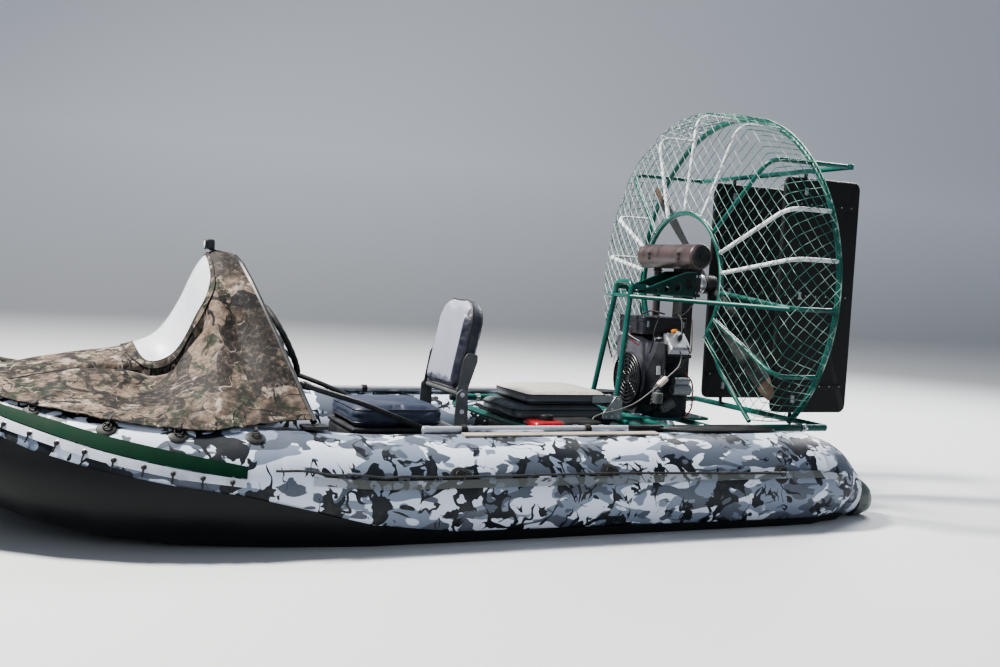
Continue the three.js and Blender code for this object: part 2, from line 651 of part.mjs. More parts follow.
// Belt drive column, gusset plates and the bearing hub
add("drive_column", join([block([-1484, -70, 392 + GAP], [ENGINE.aft - GAP, 70, 960]),
  block([-1545, -85, 950], [ENGINE.aft - GAP, 85, 1085])]), 0x15171a);
const gusset = (y) => {
  const s = new THREE.Shape();
  s.moveTo(-1190, 962);
  s.lineTo(-1190, 978);
  s.lineTo(-1400, 1062);
  s.lineTo(-1540, 1066);
  s.lineTo(-1540, 950);
  const holes = [[-1250, 976, 13], [-1323, 988, 18], [-1396, 1004, 24]];
  for (const [x, z, r] of holes) {
    const h = new THREE.Path();
    h.absarc(x, z, r, 0, Math.PI * 2, true);
    s.holes.push(h);
  }
  const g = new THREE.ExtrudeGeometry(s, { depth: 5, bevelEnabled: false, curveSegments: 8 });
  g.rotateX(Math.PI / 2);
  g.translate(0, y + 2.5, 0);
  return g;
};
add("gusset_port", gusset(88), 0x1d5a3c);
add("gusset_starboard", gusset(-88), 0x1d5a3c);
add("bearing_hub", rod([-1545 - GAP, 0, CAGE_Z], [-1556, 0, CAGE_Z], 40, 20), 0xb9bcc0);

// Propeller: two blades from a hub
function blade(sign) {
  const rows = [
    [20, 40, 24, 55], [120, 76, 20, 50], [260, 110, 15, 36], [420, 112, 12, 25],
    [580, 92, 9, 18], [680, 66, 7, 15], [PROP_R, 36, 5, 13],
  ];
  const rings = rows.map(([d, chord, thick, pitch]) => {
    const t = THREE.MathUtils.degToRad(pitch);
    return Array.from({ length: 10 }, (_, k) => {
      const a = (2 * Math.PI * k) / 10;
      const u = (chord / 2) * Math.cos(a), w = (thick / 2) * Math.sin(a);
      return [PROP_X + u * Math.sin(t) * sign + w * Math.cos(t),
        u * Math.cos(t) - w * Math.sin(t) * sign, CAGE_Z + d * sign];
    });
  });
  return loft(rings);
}
const prop = join([rod([-1556 - GAP, 0, CAGE_Z], [-1622, 0, CAGE_Z], 46, 20), blade(1), blade(-1)]);
prop.translate(0, 0, -CAGE_Z);
prop.rotateX(THREE.MathUtils.degToRad(48));
prop.translate(0, 0, CAGE_Z);
add("propeller", prop, 0x2d3033);

// Cage: rear hoop down to the rails, front ring, radial tubes, top loop
const polar = (x, r, degrees) => {
  const t = THREE.MathUtils.degToRad(degrees);
  return [x, r * Math.sin(t), CAGE_Z + r * Math.cos(t)];
};
const ENDS = 138;            // degrees from the top where the cage meets the rails
const RING_ENDS = 131;
const rearHoop = Array.from({ length: 41 }, (_, k) =>
  polar(HOOP_X, CAGE_R, -ENDS + (2 * ENDS * k) / 40));
const frontRing = Array.from({ length: 25 }, (_, k) =>
  polar(RING_X, RING_R, -RING_ENDS + (2 * RING_ENDS * k) / 24));
const cageParts = [pipe(rearHoop, CAGE_TUBE, 8), pipe(frontRing, 11, 8)];
const RADIALS = [0, 25, 46, 65, 81, 96, 118, -25, -46, -65, -81, -96, -118];
for (const a of RADIALS) {
  const aft = Math.abs(a) === 46 ? LOOP_X : HOOP_X;
  const line = Math.abs(a) === 46
    ? [polar(RING_X, RING_R, a), polar(FRONT_X, CAGE_R, a), [LOOP_X, Math.sign(a) * LOOP_Y,
      CAGE_Z + CAGE_R * Math.cos(THREE.MathUtils.degToRad(a))]]
    : [polar(RING_X, RING_R, a), polar(FRONT_X, CAGE_R, a), polar(aft, CAGE_R, a)];
  cageParts.push(pipe(bend(line, 70, 2), 10, 6));
}
const loopZ = CAGE_Z + CAGE_R * Math.cos(THREE.MathUtils.degToRad(46));
cageParts.push(rod([LOOP_X, -LOOP_Y, loopZ], [LOOP_X, LOOP_Y, loopZ], 12, 10));
for (const s of [-1, 1]) {
  cageParts.push(pipe(bend([polar(RING_X, RING_R, RING_ENDS * s), [-1480, s * 300, 620],
    [-1490, s * RAIL_Y, 428]], 40), 10, 8));
  cageParts.push(rod([-1112, s * 124, 940], [FRONT_X, s * 770, 930], 10, 8));
}
add("cage_frame", join(cageParts), 0x1d5a3c);

// Net: a sheet of diamond openings on the outside of the cage, open over the deck
function net(rowsAt, across, ends, wire, thick) {
  const pos = [], idx = [];
  const count = rowsAt.length, step = (2 * ends) / across;
  const place = (row, column, lift) => {
    const i = Math.min(Math.floor(row), count - 2), k = row - i;
    const a = rowsAt[i], b = rowsAt[i + 1];
    const x = a.x * (1 - k) + b.x * k + (a.nx * (1 - k) + b.nx * k) * lift;
    const r = a.r * (1 - k) + b.r * k + (a.nr * (1 - k) + b.nr * k) * lift;
    return polar(x, r, -ends + column * step);
  };
  // knots of the net stand at (row, column), odd rows half a column on
  const knot = (i, j) => j + (i % 2 ? 0.5 : 0);
  const exists = (i, j) => i >= 0 && i < count && j >= 0 && knot(i, j) <= across;
  const key = new Map();
  const corner = (i, j, dir, side) => {
    const name = `${i},${j},${dir},${side}`;
    if (!key.has(name)) {
      const di = { up: wire, down: -wire, left: 0, right: 0 }[dir];
      const dj = { up: 0, down: 0, left: -wire / 2, right: wire / 2 }[dir];
      const row = Math.min(Math.max(i + di, 0), count - 1);
      key.set(name, pos.length / 3);
      pos.push(...place(row, knot(i, j) + dj, side ? thick : 0));
    }
    return key.get(name);
  };
  const c = (i, j, dir) => [corner(i, j, dir, 0), corner(i, j, dir, 1)];
  const wall = (a, b) => idx.push(a[0], b[0], b[1], a[0], b[1], a[1]);
  const both = (ring) => {
    for (let k = 1; k + 1 < ring.length; k++) {
      idx.push(ring[0][1], ring[k][1], ring[k + 1][1], ring[0][0], ring[k + 1][0], ring[k][0]);
    }
  };
  for (let i = 0; i < count; i++) {
    for (let j = 0; exists(i, j); j++) {
      // links to the next row: up and to the right, up and to the left
      const r = i % 2 ? j + 1 : j, l = r - 1;
      both(["right", "up", "left", "down"].map((dir) => c(i, j, dir)));
      if (exists(i + 1, r)) {
        both([c(i, j, "up"), c(i, j, "right"), c(i + 1, r, "down"), c(i + 1, r, "left")]);
        wall(c(i, j, "right"), c(i + 1, r, "down"));
        wall(c(i + 1, r, "left"), c(i, j, "up"));
      } else wall(c(i, j, "right"), c(i, j, "up"));
      if (exists(i + 1, l)) {
        both([c(i, j, "left"), c(i, j, "up"), c(i + 1, l, "right"), c(i + 1, l, "down")]);
        wall(c(i, j, "up"), c(i + 1, l, "right"));
        wall(c(i + 1, l, "down"), c(i, j, "left"));
      } else wall(c(i, j, "up"), c(i, j, "left"));
      if (!exists(i - 1, r)) wall(c(i, j, "down"), c(i, j, "right"));
      if (!exists(i - 1, l)) wall(c(i, j, "left"), c(i, j, "down"));
    }
  }
  return outward(pos, idx);
}
const NET_R = CAGE_R + 14.4;
const netRows = [
  { x: RING_X + 12.2, r: 340, nx: 1, nr: 0.1 },
  { x: RING_X + 3.5, r: 430, nx: 1, nr: 0.1 },
  { x: RING_X - 4.5, r: 520, nx: 1, nr: 0.1 },
  { x: RING_X - 12.5, r: 610, nx: 1, nr: 0.1 },
  { x: RING_X - 20.5, r: 700, nx: 1, nr: 0.2 },
  { x: FRONT_X + 6, r: CAGE_R + 6, nx: 0.7, nr: 0.7 },
  { x: FRONT_X - 75, r: NET_R, nx: 0, nr: 1 },
  { x: FRONT_X - 150, r: NET_R, nx: 0, nr: 1 },
  { x: HOOP_X, r: NET_R, nx: 0, nr: 1 },
];
const netHoles = [-1, 1].map((s) => rod([-1112, s * 124, 940], [FRONT_X, s * 770, 930], 15, 10));
add("cage_net", cut(net(netRows, 20, 136, 0.16, 4), netHoles), 0xa9b8ac);

// Rudders under the rear bar of the loop
function rudder(y) {
  const s = new THREE.Shape();
  const front = LOOP_X + 119, aft = LOOP_X - 318, top = 1533, low = 435;
  s.moveTo(front, low);
  s.lineTo(front, top);
  s.lineTo(aft + 40, top);
  s.absarc(aft + 40, top - 40, 40, Math.PI / 2, Math.PI);
  s.lineTo(aft, low);
  const g = new THREE.ExtrudeGeometry(s, { depth: 24, bevelEnabled: false, curveSegments: 5 });
  g.rotateX(Math.PI / 2);
  g.translate(0, y + 12, 0);
  return join([g, rod([LOOP_X, y, 414 + GAP], [LOOP_X, y, loopZ - 12 - GAP], 9, 10)]);
}
add("rudder_port", rudder(RUDDER_Y), 0x141618);
add("rudder_starboard", rudder(-RUDDER_Y), 0x141618);

// Fuel line with its filter
const fuelLine = bend([[-1300, 236.3, 704.7], [-1300, 252, 689], [-1286, 262, 640], [-1238, 250, 592],
  [-1186, 246, 546], [-1100, 240, 490], [-1010, 242, 440], [-940, 262, 400], [-862.6, 285, 372]], 40);
add("fuel_line", join([pipe(fuelLine, 4, 8),
  rod([-1232, 249.6, 587], [-1190, 246.2, 549.5], 14, 12)]), 0xd8d2c8);

export default boat;
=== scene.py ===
"""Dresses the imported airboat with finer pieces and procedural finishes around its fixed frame."""

import math

import bpy
import numpy as np
from bpy.props import FloatProperty, FloatVectorProperty
from mathutils import Matrix, Vector
from mathutils.bvhtree import BVHTree
from mathutils.geometry import tessellate_polygon


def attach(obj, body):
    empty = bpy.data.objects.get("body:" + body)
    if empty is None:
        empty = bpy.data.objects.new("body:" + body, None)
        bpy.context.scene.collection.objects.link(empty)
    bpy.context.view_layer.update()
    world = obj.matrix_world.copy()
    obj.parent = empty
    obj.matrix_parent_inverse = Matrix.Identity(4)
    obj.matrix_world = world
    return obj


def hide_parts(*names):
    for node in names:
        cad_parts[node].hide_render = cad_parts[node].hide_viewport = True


bl_info = {
    "name": "Airboat dressing",
    "version": (1, 0, 0),
    "blender": (4, 5, 0),
    "location": "3D View > Sidebar > Airboat",
    "description": "Fabric, bars, net, seats and engine pieces for an inflatable airboat",
    "category": "Object",
}

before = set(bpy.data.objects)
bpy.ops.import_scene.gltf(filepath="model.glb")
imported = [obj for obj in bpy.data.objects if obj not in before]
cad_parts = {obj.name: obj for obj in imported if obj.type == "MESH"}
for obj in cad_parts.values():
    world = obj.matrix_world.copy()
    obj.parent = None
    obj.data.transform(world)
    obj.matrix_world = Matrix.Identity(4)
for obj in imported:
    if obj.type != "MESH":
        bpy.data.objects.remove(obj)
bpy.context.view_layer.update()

# Metres forward from the part's origin to the driver's seat, where the drawing's x is 0
SHIFT = 0.0988
# Places that several pieces share, in metres in the drawing's frame
SHAFT_Z = 1.014
CAGE_R = 0.790
HOOP_X = -1.697
FRONT_X = -1.471
RING_X = -1.431
RING_R = 0.328
LOOP_X = -1.900
LOOP_Y = 0.569
RUDDER_Y = 0.279
RAIL_Y = 0.522
RAIL_Z = 0.400
PROP_X = -1.592
SOLE = 0.0403           # just over the floor board, where boxes and legs stand
GUSSET_Y = 0.088
BRACKET_Y = 0.221       # the seats' side plates
PADDLE_Y, PADDLE_Z = 0.655, 0.4216
DRIVER_HINGE = np.array([-0.262, 0, 0.500])
SECOND_HINGE = np.array([-1.003, 0, 0.487])
LEG_X, LEG_Y = (-1.400, -1.060, -0.520), 0.440
MUFFLER_X, MUFFLER_Z = -1.357, 1.135
GRILLE_X, GRILLE_Z = -1.1700, 0.560

# Tube line: x, y, z of the centre and radius, from the stern to past the middle at the bow
TUBE = np.array([
    [-1.900, 0.715, 0.134, 0.0840],
    [-1.795, 0.715, 0.168, 0.1400],
    [-1.693, 0.715, 0.202, 0.1790],
    [-1.593, 0.715, 0.209, 0.1990],
    [-1.450, 0.715, 0.211, 0.2035],
    [0.000, 0.715, 0.211, 0.2035],
    [0.300, 0.714, 0.215, 0.2035],
    [0.520, 0.709, 0.234, 0.2030],
    [0.720, 0.698, 0.250, 0.2030],
    [0.920, 0.672, 0.262, 0.2020],
    [1.110, 0.622, 0.282, 0.2000],
    [1.290, 0.535, 0.312, 0.1970],
    [1.450, 0.420, 0.352, 0.1930],
    [1.590, 0.285, 0.398, 0.1880],
    [1.710, 0.148, 0.446, 0.1820],
    [1.810, 0.010, 0.490, 0.1760],
    [1.895, -0.120, 0.528, 0.1700],
])


# Forms: points with quads and triangles
class Form:
    """Points with four- and three-cornered faces."""

    def __init__(self, points, quads=(), tris=()):
        self.points = np.asarray(points, float).reshape(-1, 3)
        self.quads = np.asarray(quads, int).reshape(-1, 4)
        self.tris = np.asarray(tris, int).reshape(-1, 3)

    def mirrored(self):
        """y turned to -y, with the corners' order turned so that faces still point out."""
        return Form(self.points * (1, -1, 1), self.quads[:, ::-1], self.tris[:, ::-1])

    def moved(self, offset):
        """p = p + offset."""
        return Form(self.points + offset, self.quads, self.tris)

    def turned(self, matrix, about=(0, 0, 0)):
        """p = about + M (p - about)."""
        about = np.asarray(about, float)
        return Form((self.points - about) @ np.asarray(matrix).T + about, self.quads, self.tris)


def joined(forms):
    """One form: points stacked, and each form's corner numbers raised by the points before it."""
    starts = np.cumsum([0] + [len(f.points) for f in forms])
    return Form(np.vstack([f.points for f in forms]),
                np.vstack([f.quads + n for f, n in zip(forms, starts)]),
                np.vstack([f.tris + n for f, n in zip(forms, starts)]))


def both_sides(form):
    """The form and its mirror image as one."""
    return joined([form, form.mirrored()])


def outward(form):
    """Faces turned round if the sum of a . (b x c) / 6 over all triangles is negative."""
    p, q = form.points, form.quads
    tris = np.vstack([q[:, [0, 1, 2]], q[:, [0, 2, 3]], form.tris])
    a, b, c = (p[tris[:, k]] for k in range(3))
    if np.einsum("ij,ij->", a, np.cross(b, c)) < 0:
        return Form(p, q[:, ::-1], form.tris[:, ::-1])
    return form


def loft(rings, closed=False):
    """P(i, j): quads between ring i and i + 1 and round j; an end is a fan to its ring's mean."""
    rings = np.asarray(rings, float)
    n, m = rings.shape[:2]
    i, j = np.meshgrid(np.arange(n if closed else n - 1), np.arange(m), indexing="ij")
    k, i2 = (j + 1) % m, (i + 1) % n
    quads = np.stack([i * m + j, i * m + k, i2 * m + k, i2 * m + j], -1).reshape(-1, 4)
    points = rings.reshape(-1, 3)
    if closed:
        return outward(Form(points, quads))
    points = np.vstack([points, rings[0].mean(0), rings[-1].mean(0)])
    j = np.arange(m)
    k = (j + 1) % m
    first = np.stack([np.full(m, n * m), k, j], -1)
    last = np.stack([np.full(m, n * m + 1), (n - 1) * m + j, (n - 1) * m + k], -1)
    return outward(Form(points, quads, np.vstack([first, last])))


def normals(grid):
    """Unit cross product of the grid's two differences, P_i x P_j."""
    n = np.cross(np.gradient(grid, axis=0), np.gradient(grid, axis=1))
    return n / np.maximum(np.linalg.norm(n, axis=-1, keepdims=True), 1e-12)


def shell(grid, thick, lift=0.0, keep=None):
    """Sheet of even thickness: P + n (lift + thick) outside, P + n lift inside, with edge walls.

    keep is a mask of the cells that are there; a cell next to one that isn't gets a wall.
    """
    rows, cols = grid.shape[:2]
    n = normals(grid)
    outer, inner = grid + n * (lift + thick), grid + n * lift
    cells = np.ones((rows - 1, cols - 1), bool) if keep is None else keep
    i, j = np.nonzero(cells)
    a, size = i * cols + j, rows * cols
    top = np.stack([a, a + cols, a + cols + 1, a + 1], -1)
    faces = [top, top[:, ::-1] + size]
    padded = np.pad(cells, 1)
    for di, dj, first, second in ((-1, 0, 0, 1), (1, 0, cols + 1, cols), (0, -1, cols, 0),
                                  (0, 1, 1, cols + 1)):
        edge = cells & ~padded[1 + di:rows + di, 1 + dj:cols + dj]
        ei, ej = np.nonzero(edge)
        e = ei * cols + ej
        s, t = e + first, e + second
        faces.append(np.stack([s, t, t + size, s + size], -1))
    quads = np.vstack(faces)
    used, index = np.unique(quads, return_inverse=True)
    points = np.vstack([outer.reshape(-1, 3), inner.reshape(-1, 3)])[used]
    return outward(Form(points, index.reshape(-1, 4)))


def spline(points, steps):
    """Catmull-Rom curve through the points, with that many steps between two of them."""
    p = np.asarray(points, float)
    p = np.vstack([2 * p[0] - p[1], p, 2 * p[-1] - p[-2]])
    t = np.linspace(0, 1, steps, endpoint=False)[:, None]
    out = [0.5 * (2 * b + (c - a) * t + (2 * a - 5 * b + 4 * c - d) * t ** 2
                  + (3 * b - a - 3 * c + d) * t ** 3)
           for a, b, c, d in zip(p[:-3], p[1:-2], p[2:-1], p[3:])]
    return np.vstack(out + [p[-2][None]])


def corner_curve(a, b, c, radius, steps):
    """Quadratic curve about the corner b that starts and ends within radius of it."""
    t = np.linspace(0, 1, steps + 1)[:, None]
    d = min(radius, 0.45 * np.linalg.norm(a - b), 0.45 * np.linalg.norm(c - b))
    s = b + (a - b) / np.linalg.norm(a - b) * d
    e = b + (c - b) / np.linalg.norm(c - b) * d
    return (1 - t) ** 2 * s + 2 * t * (1 - t) * b + t ** 2 * e


def bend(points, radius, steps=6):
    """A line whose corners are quadratic curves."""
    p = [np.asarray(q, float) for q in points]
    curves = [corner_curve(a, b, c, radius, steps) for a, b, c in zip(p, p[1:], p[2:])]
    return np.vstack([p[0], *curves, p[-1]])


def frames(path, closed=False):
    """Side and up vectors along a path: each frame is the last one turned onto the new tangent."""
    if closed:
        tangent = np.roll(path, -1, 0) - np.roll(path, 1, 0)
    else:
        tangent = np.gradient(path, axis=0)
    tangent = tangent / np.linalg.norm(tangent, axis=1, keepdims=True)
    side = np.array([0.0, 0, 1]) if abs(tangent[0, 2]) < 0.9 else np.array([1.0, 0, 0])
    sides = []
    for t in tangent:
        side = side - t * (side @ t)
        side = side / np.linalg.norm(side)
        sides.append(side)
    sides = np.array(sides)
    return sides, np.cross(tangent, sides)


def circle(radius, sides):
    """Profile (r cos t, r sin t)."""
    t = 2 * np.pi * (np.arange(sides) + 0.5) / sides
    return np.stack([radius * np.cos(t), radius * np.sin(t)], -1)


def carry(path, profile, closed=False, scale=None):
    """P(i, j) = path(i) + scale(i) (side(i) profile_x(j) + up(i) profile_y(j))."""
    path = np.asarray(path, float)
    side, up = frames(path, closed)
    grow = np.ones(len(path)) if scale is None else np.asarray(scale, float)
    rings = path[:, None] + grow[:, None, None] * (
        side[:, None] * profile[None, :, :1] + up[:, None] * profile[None, :, 1:])
    return loft(rings, closed)


def bar(points, radius, sides=16, corner=0.0, closed=False):
    """Round bar along a line, its corners rounded and its ends drawn in by a tenth."""
    path = bend(points, corner) if corner else np.asarray(points, float)
    if closed:
        return carry(path, circle(radius, sides), True)
    ends = [path[0] + (path[1] - path[0]) / np.linalg.norm(path[1] - path[0]) * radius * 0.12,
            path[-1] + (path[-2] - path[-1]) / np.linalg.norm(path[-2] - path[-1]) * radius * 0.12]
    path = np.vstack([path[:1], ends[:1], path[1:-1], ends[1:], path[-1:]])
    grow = np.ones(len(path))
    grow[[0, -1]] = 0.88
    return carry(path, circle(radius, sides), scale=grow)


def turned(profile, start, toward, sides=32):
    """Surface of revolution: rows (distance along, radius) about the line from start."""
    profile = np.asarray(profile, float)
    w = np.asarray(toward, float)
    w = w / np.linalg.norm(w)
    u = np.cross(w, (0, 0, 1.0) if abs(w[2]) < 0.9 else (1.0, 0, 0))
    u = u / np.linalg.norm(u)
    v = np.cross(w, u)
    t = 2 * np.pi * np.arange(sides) / sides
    ring = np.cos(t)[:, None] * u + np.sin(t)[:, None] * v
    centre = np.asarray(start, float) + profile[:, :1] * w
    return loft(centre[:, None] + profile[:, 1, None, None] * ring[None])


def rounded_outline(w, d, r, steps=5):
    """Rectangle of half sides w and d, with its four corners as quarter circles of radius r."""
    t = np.linspace(0, np.pi / 2, steps + 1)
    out = []
    for k, (sx, sy) in enumerate(((1, 1), (-1, 1), (-1, -1), (1, -1))):
        a = t + k * np.pi / 2
        out.append(np.stack([sx * (w - r) + r * np.cos(a), sy * (d - r) + r * np.sin(a)], -1))
    return np.vstack(out)


def soft_block(lo, hi, r=0.01, edge=None, steps=4):
    """Block with round corners in plan, drawn in along a quarter circle at its foot and top."""
    lo, hi = np.asarray(lo, float), np.asarray(hi, float)
    half, mid = (hi - lo) / 2, (hi + lo) / 2
    edge = min(r, half[2]) if edge is None else edge
    r = min(r, half[0] * 0.98, half[1] * 0.98)
    a = np.linspace(0, np.pi / 2, steps + 1)
    inset = np.concatenate([edge * (1 - np.sin(a)), np.zeros(steps),
                            edge * (1 - np.sin(a[::-1]))])
    height = np.concatenate([lo[2] + edge * (1 - np.cos(a)),
                             np.linspace(lo[2] + edge, hi[2] - edge, steps + 2)[1:-1],
                             hi[2] - edge * (1 - np.cos(a[::-1]))])
    rings = []
    for z, back in zip(height, inset):
        ring = rounded_outline(half[0] - back, half[1] - back, max(r - back, 0.15 * r))
        rings.append(np.column_stack([ring + mid[:2], np.full(len(ring), z)]))
    return loft(rings)


def turn_matrix(axis, degrees):
    """Rotation about a coordinate axis."""
    return np.array(Matrix.Rotation(math.radians(degrees), 3, axis))


def piece(name, form, look, body="hull", stands_for=(), crease=35.0):
    """A mesh object of the form in the part's frame, smooth up to the crease, on its body."""
    mesh = bpy.data.meshes.new(name)
    points = form.points + (SHIFT, 0, 0)
    corners = np.concatenate([form.quads.ravel(), form.tris.ravel()]).astype(np.int32)
    counts = np.concatenate([np.full(len(form.quads), 4), np.full(len(form.tris), 3)])
    mesh.vertices.add(len(points))
    mesh.vertices.foreach_set("co", points.ravel())
    mesh.loops.add(len(corners))
    mesh.loops.foreach_set("vertex_index", corners)
    mesh.polygons.add(len(counts))
    mesh.polygons.foreach_set("loop_start", np.cumsum(counts) - counts)
    mesh.polygons.foreach_set("loop_total", counts)
    mesh.polygons.foreach_set("use_smooth", np.ones(len(counts), bool))
    mesh.update(calc_edges=True)
    mesh.validate()
    mesh.set_sharp_from_angle(angle=math.radians(crease))
    mesh.materials.append(finish(look))
    obj = bpy.data.objects.new(name, mesh)
    bpy.context.scene.collection.objects.link(obj)
    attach(obj, body)
    if stands_for:
        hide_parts(*stands_for)
    return obj


def pair(name, form, look, node=None, **more):
    """The form on the port side and its mirror image on the starboard side."""
    for side, made in (("port", form), ("starboard", form.mirrored())):
        piece(f"{name}_{side}", made, look, stands_for=(f"{node}_{side}",) if node else (), **more)


def dress(nodes, look, crease=32.0):
    """A finish for CAD nodes that stay, with their loose corners welded and edges kept crisp."""
    for name in nodes:
        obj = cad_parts[name]
        obj.data.materials.clear()
        obj.data.materials.append(finish(look))
        obj.data.polygons.foreach_set("use_smooth", np.ones(len(obj.data.polygons), bool))
        weld = obj.modifiers.new("weld", "WELD")
        weld.merge_threshold = 0.0001
        crisp = obj.modifiers.new("crisp", "EDGE_SPLIT")
        crisp.split_angle = math.radians(crease)


# Finishes: node webs written as expressions
class Value:
    """A shader socket; arithmetic on it adds Math nodes to its web."""

    def __init__(self, web, socket):
        self.web = web
        self.socket = socket

    def math(self, operation, *others):
        """A Math node of that operation on this value and the others."""
        inputs = {k: v for k, v in enumerate((self, *others))}
        return self.web.node("ShaderNodeMath", {"operation": operation}, inputs)

    def __add__(self, other):
        return self.math("ADD", other)

    def __sub__(self, other):
        return self.math("SUBTRACT", other)

    def __mul__(self, other):
        return self.math("MULTIPLY", other)

    def __rsub__(self, other):
        return self.web.node("ShaderNodeMath", {"operation": "SUBTRACT"}, {0: other, 1: self})

    __radd__ = __add__
    __rmul__ = __mul__

    def above(self, edge, soft=0.02):
        """0 under the edge and 1 over it, with a soft step between."""
        return self.web.node("ShaderNodeMapRange", {"interpolation_type": "SMOOTHSTEP"},
                             {0: self, 1: edge - soft, 2: edge + soft, 3: 0.0, 4: 1.0})

    def to(self, low, high, start=0.3, end=0.7):
        """From low to high as the value goes from start to end."""
        return self.web.node("ShaderNodeMapRange", {},
                             {0: self, 1: start, 2: end, 3: low, 4: high})

    def most(self, other):
        """The larger of two values."""
        return self.math("MAXIMUM", other)


class Web:
    """One material: a Principled shader, with nodes added by name and settings."""

    def __init__(self, name, **constants):
        self.material = bpy.data.materials.new(name)
        self.material.use_nodes = True
        self.tree = self.material.node_tree
        self.shader = self.tree.nodes["Principled BSDF"]
        for key, value in constants.items():
            label = key.replace("_", " ").title().replace("Ior", "IOR")
            self.shader.inputs[label].default_value = value
        self.place = self.node("ShaderNodeTexCoord", {}, {}, "Object")

    def node(self, kind, settings, inputs, output=0):
        """A node of that kind; settings are set first, then sockets by number or name."""
        made = self.tree.nodes.new(kind)
        for key, value in settings.items():
            setattr(made, key, value)
        for key, value in inputs.items():
            if isinstance(value, Value):
                self.tree.links.new(value.socket, made.inputs[key])
            else:
                made.inputs[key].default_value = value
        return Value(self, made.outputs[output])

    def stretched(self, scale, turn=(0, 0, 0), shift=(0, 0, 0)):
        """Object coordinates, scaled along each axis, turned and moved."""
        return self.node("ShaderNodeMapping", {}, {"Vector": self.place, "Scale": scale,
                                                   "Rotation": turn, "Location": shift})

    def noise(self, scale, detail=3.0, rough=0.5, bent=0.0, at=None):
        """Noise texture, about 0.5 in the middle."""
        return self.node("ShaderNodeTexNoise", {}, {
            "Vector": at or self.place, "Scale": scale, "Detail": detail, "Roughness": rough,
            "Distortion": bent})

    def mix(self, factor, a, b):
        """Colour a where factor is 0, b where it is 1."""
        a, b = (v if isinstance(v, Value) else (*v, 1.0)[:4] for v in (a, b))
        return self.node("ShaderNodeMix", {"data_type": "RGBA"}, {0: factor, 6: a, 7: b}, 2)

    def bump(self, height, strength=0.3, distance=0.001):
        """Normal tilted by a height."""
        return self.node("ShaderNodeBump", {}, {"Height": height, "Strength": strength,
                                                "Distance": distance})

    def axis(self, k):
        """Object coordinate x, y or z as a value."""
        return self.node("ShaderNodeSeparateXYZ", {}, {0: self.place}, k)

    def feed(self, **sockets):
        """Links what varies over the surface to the shader, and gives the finished material."""
        for key, value in sockets.items():
            self.tree.links.new(value.socket, self.shader.inputs[key.replace("_", " ").title()])
        return self.material


FINISH = {}


def finish(name):
    """The named finish, made once."""
    if name not in FINISH:
        FINISH[name] = MAKERS[name](name)
    return FINISH[name]


def plain(colour, worn, rough=(0.35, 0.55), grain=220.0, depth=0.25, spots=6.0, **constants):
    """Maker of an even finish: two tones by broad noise, varied roughness, grain in the bump."""
    def make(name):
        web = Web(name, **{"specular_ior_level": 0.3, **constants})
        broad = web.noise(spots, 5, 0.6)
        fine = web.noise(grain, 2)
        tone = web.mix(broad.to(0, 1, 0.42, 0.72), colour, worn)
        return web.feed(Base_Color=tone, Roughness=broad.to(*rough),
                        Normal=web.bump(fine, depth, 0.0006))
    return make


def twigs(web, scale, stretch, shift, start, wide, bent=0.8):
    """1 on lines where a noise crosses its middle, widened by a second noise from their tips."""
    line = web.noise(scale, 1.5, 0.5, bent, web.stretched(stretch, shift=shift))
    mask = web.noise(scale * 0.62, 1.0, 0.5, 0.4, web.stretched(stretch, shift=shift[::-1]))
    return ((mask - start) * wide - (line - 0.5).math("ABSOLUTE")).above(0.0, 0.003)


def urban_camouflage(name):
    """Coated tube fabric: pale ground, two greys and near-black pointed branches."""
    hull = bpy.context.scene.airboat_hull
    web = Web(name, specular_ior_level=0.35)
    broad = web.noise(6.4, 2.2, 0.5, 0.6, web.stretched((0.8, 1.3, 1.5)))
    second = web.noise(8.2, 2.2, 0.5, 0.7, web.stretched((0.8, 1.2, 1.7), shift=(3.1, 1.7, 0.4)))
    tone = web.mix(broad.above(0.505, 0.005), tuple(hull.pale), tuple(hull.middle))
    tone = web.mix(second.above(0.535, 0.005), tone, tuple(hull.grey))
    dark = twigs(web, 9.0, (1.0, 1.1, 1.2), (7.7, 4.2, 2.9), 0.475, 0.42, 0.9)
    dark = dark.most(twigs(web, 13, (1.3, 1.1, 0.9), (1.3, 6.2, 4.4), 0.53, 0.7, 0.9))
    tone = web.mix(dark, tone, tuple(hull.dark))
    if name == "strake_camouflage":
        tone = web.mix(0.55, tone, (0.15, 0.16, 0.15))
    dirt = web.noise(14, 6, 0.65).to(0, 0.20, 0.5, 0.85)
    tone = web.mix(dirt, tone, (0.22, 0.21, 0.17))
    return web.feed(Base_Color=tone, Roughness=web.noise(9, 4).to(0.38, 0.55),
                    Normal=web.bump(web.noise(900, 1), 0.12, 0.0004))


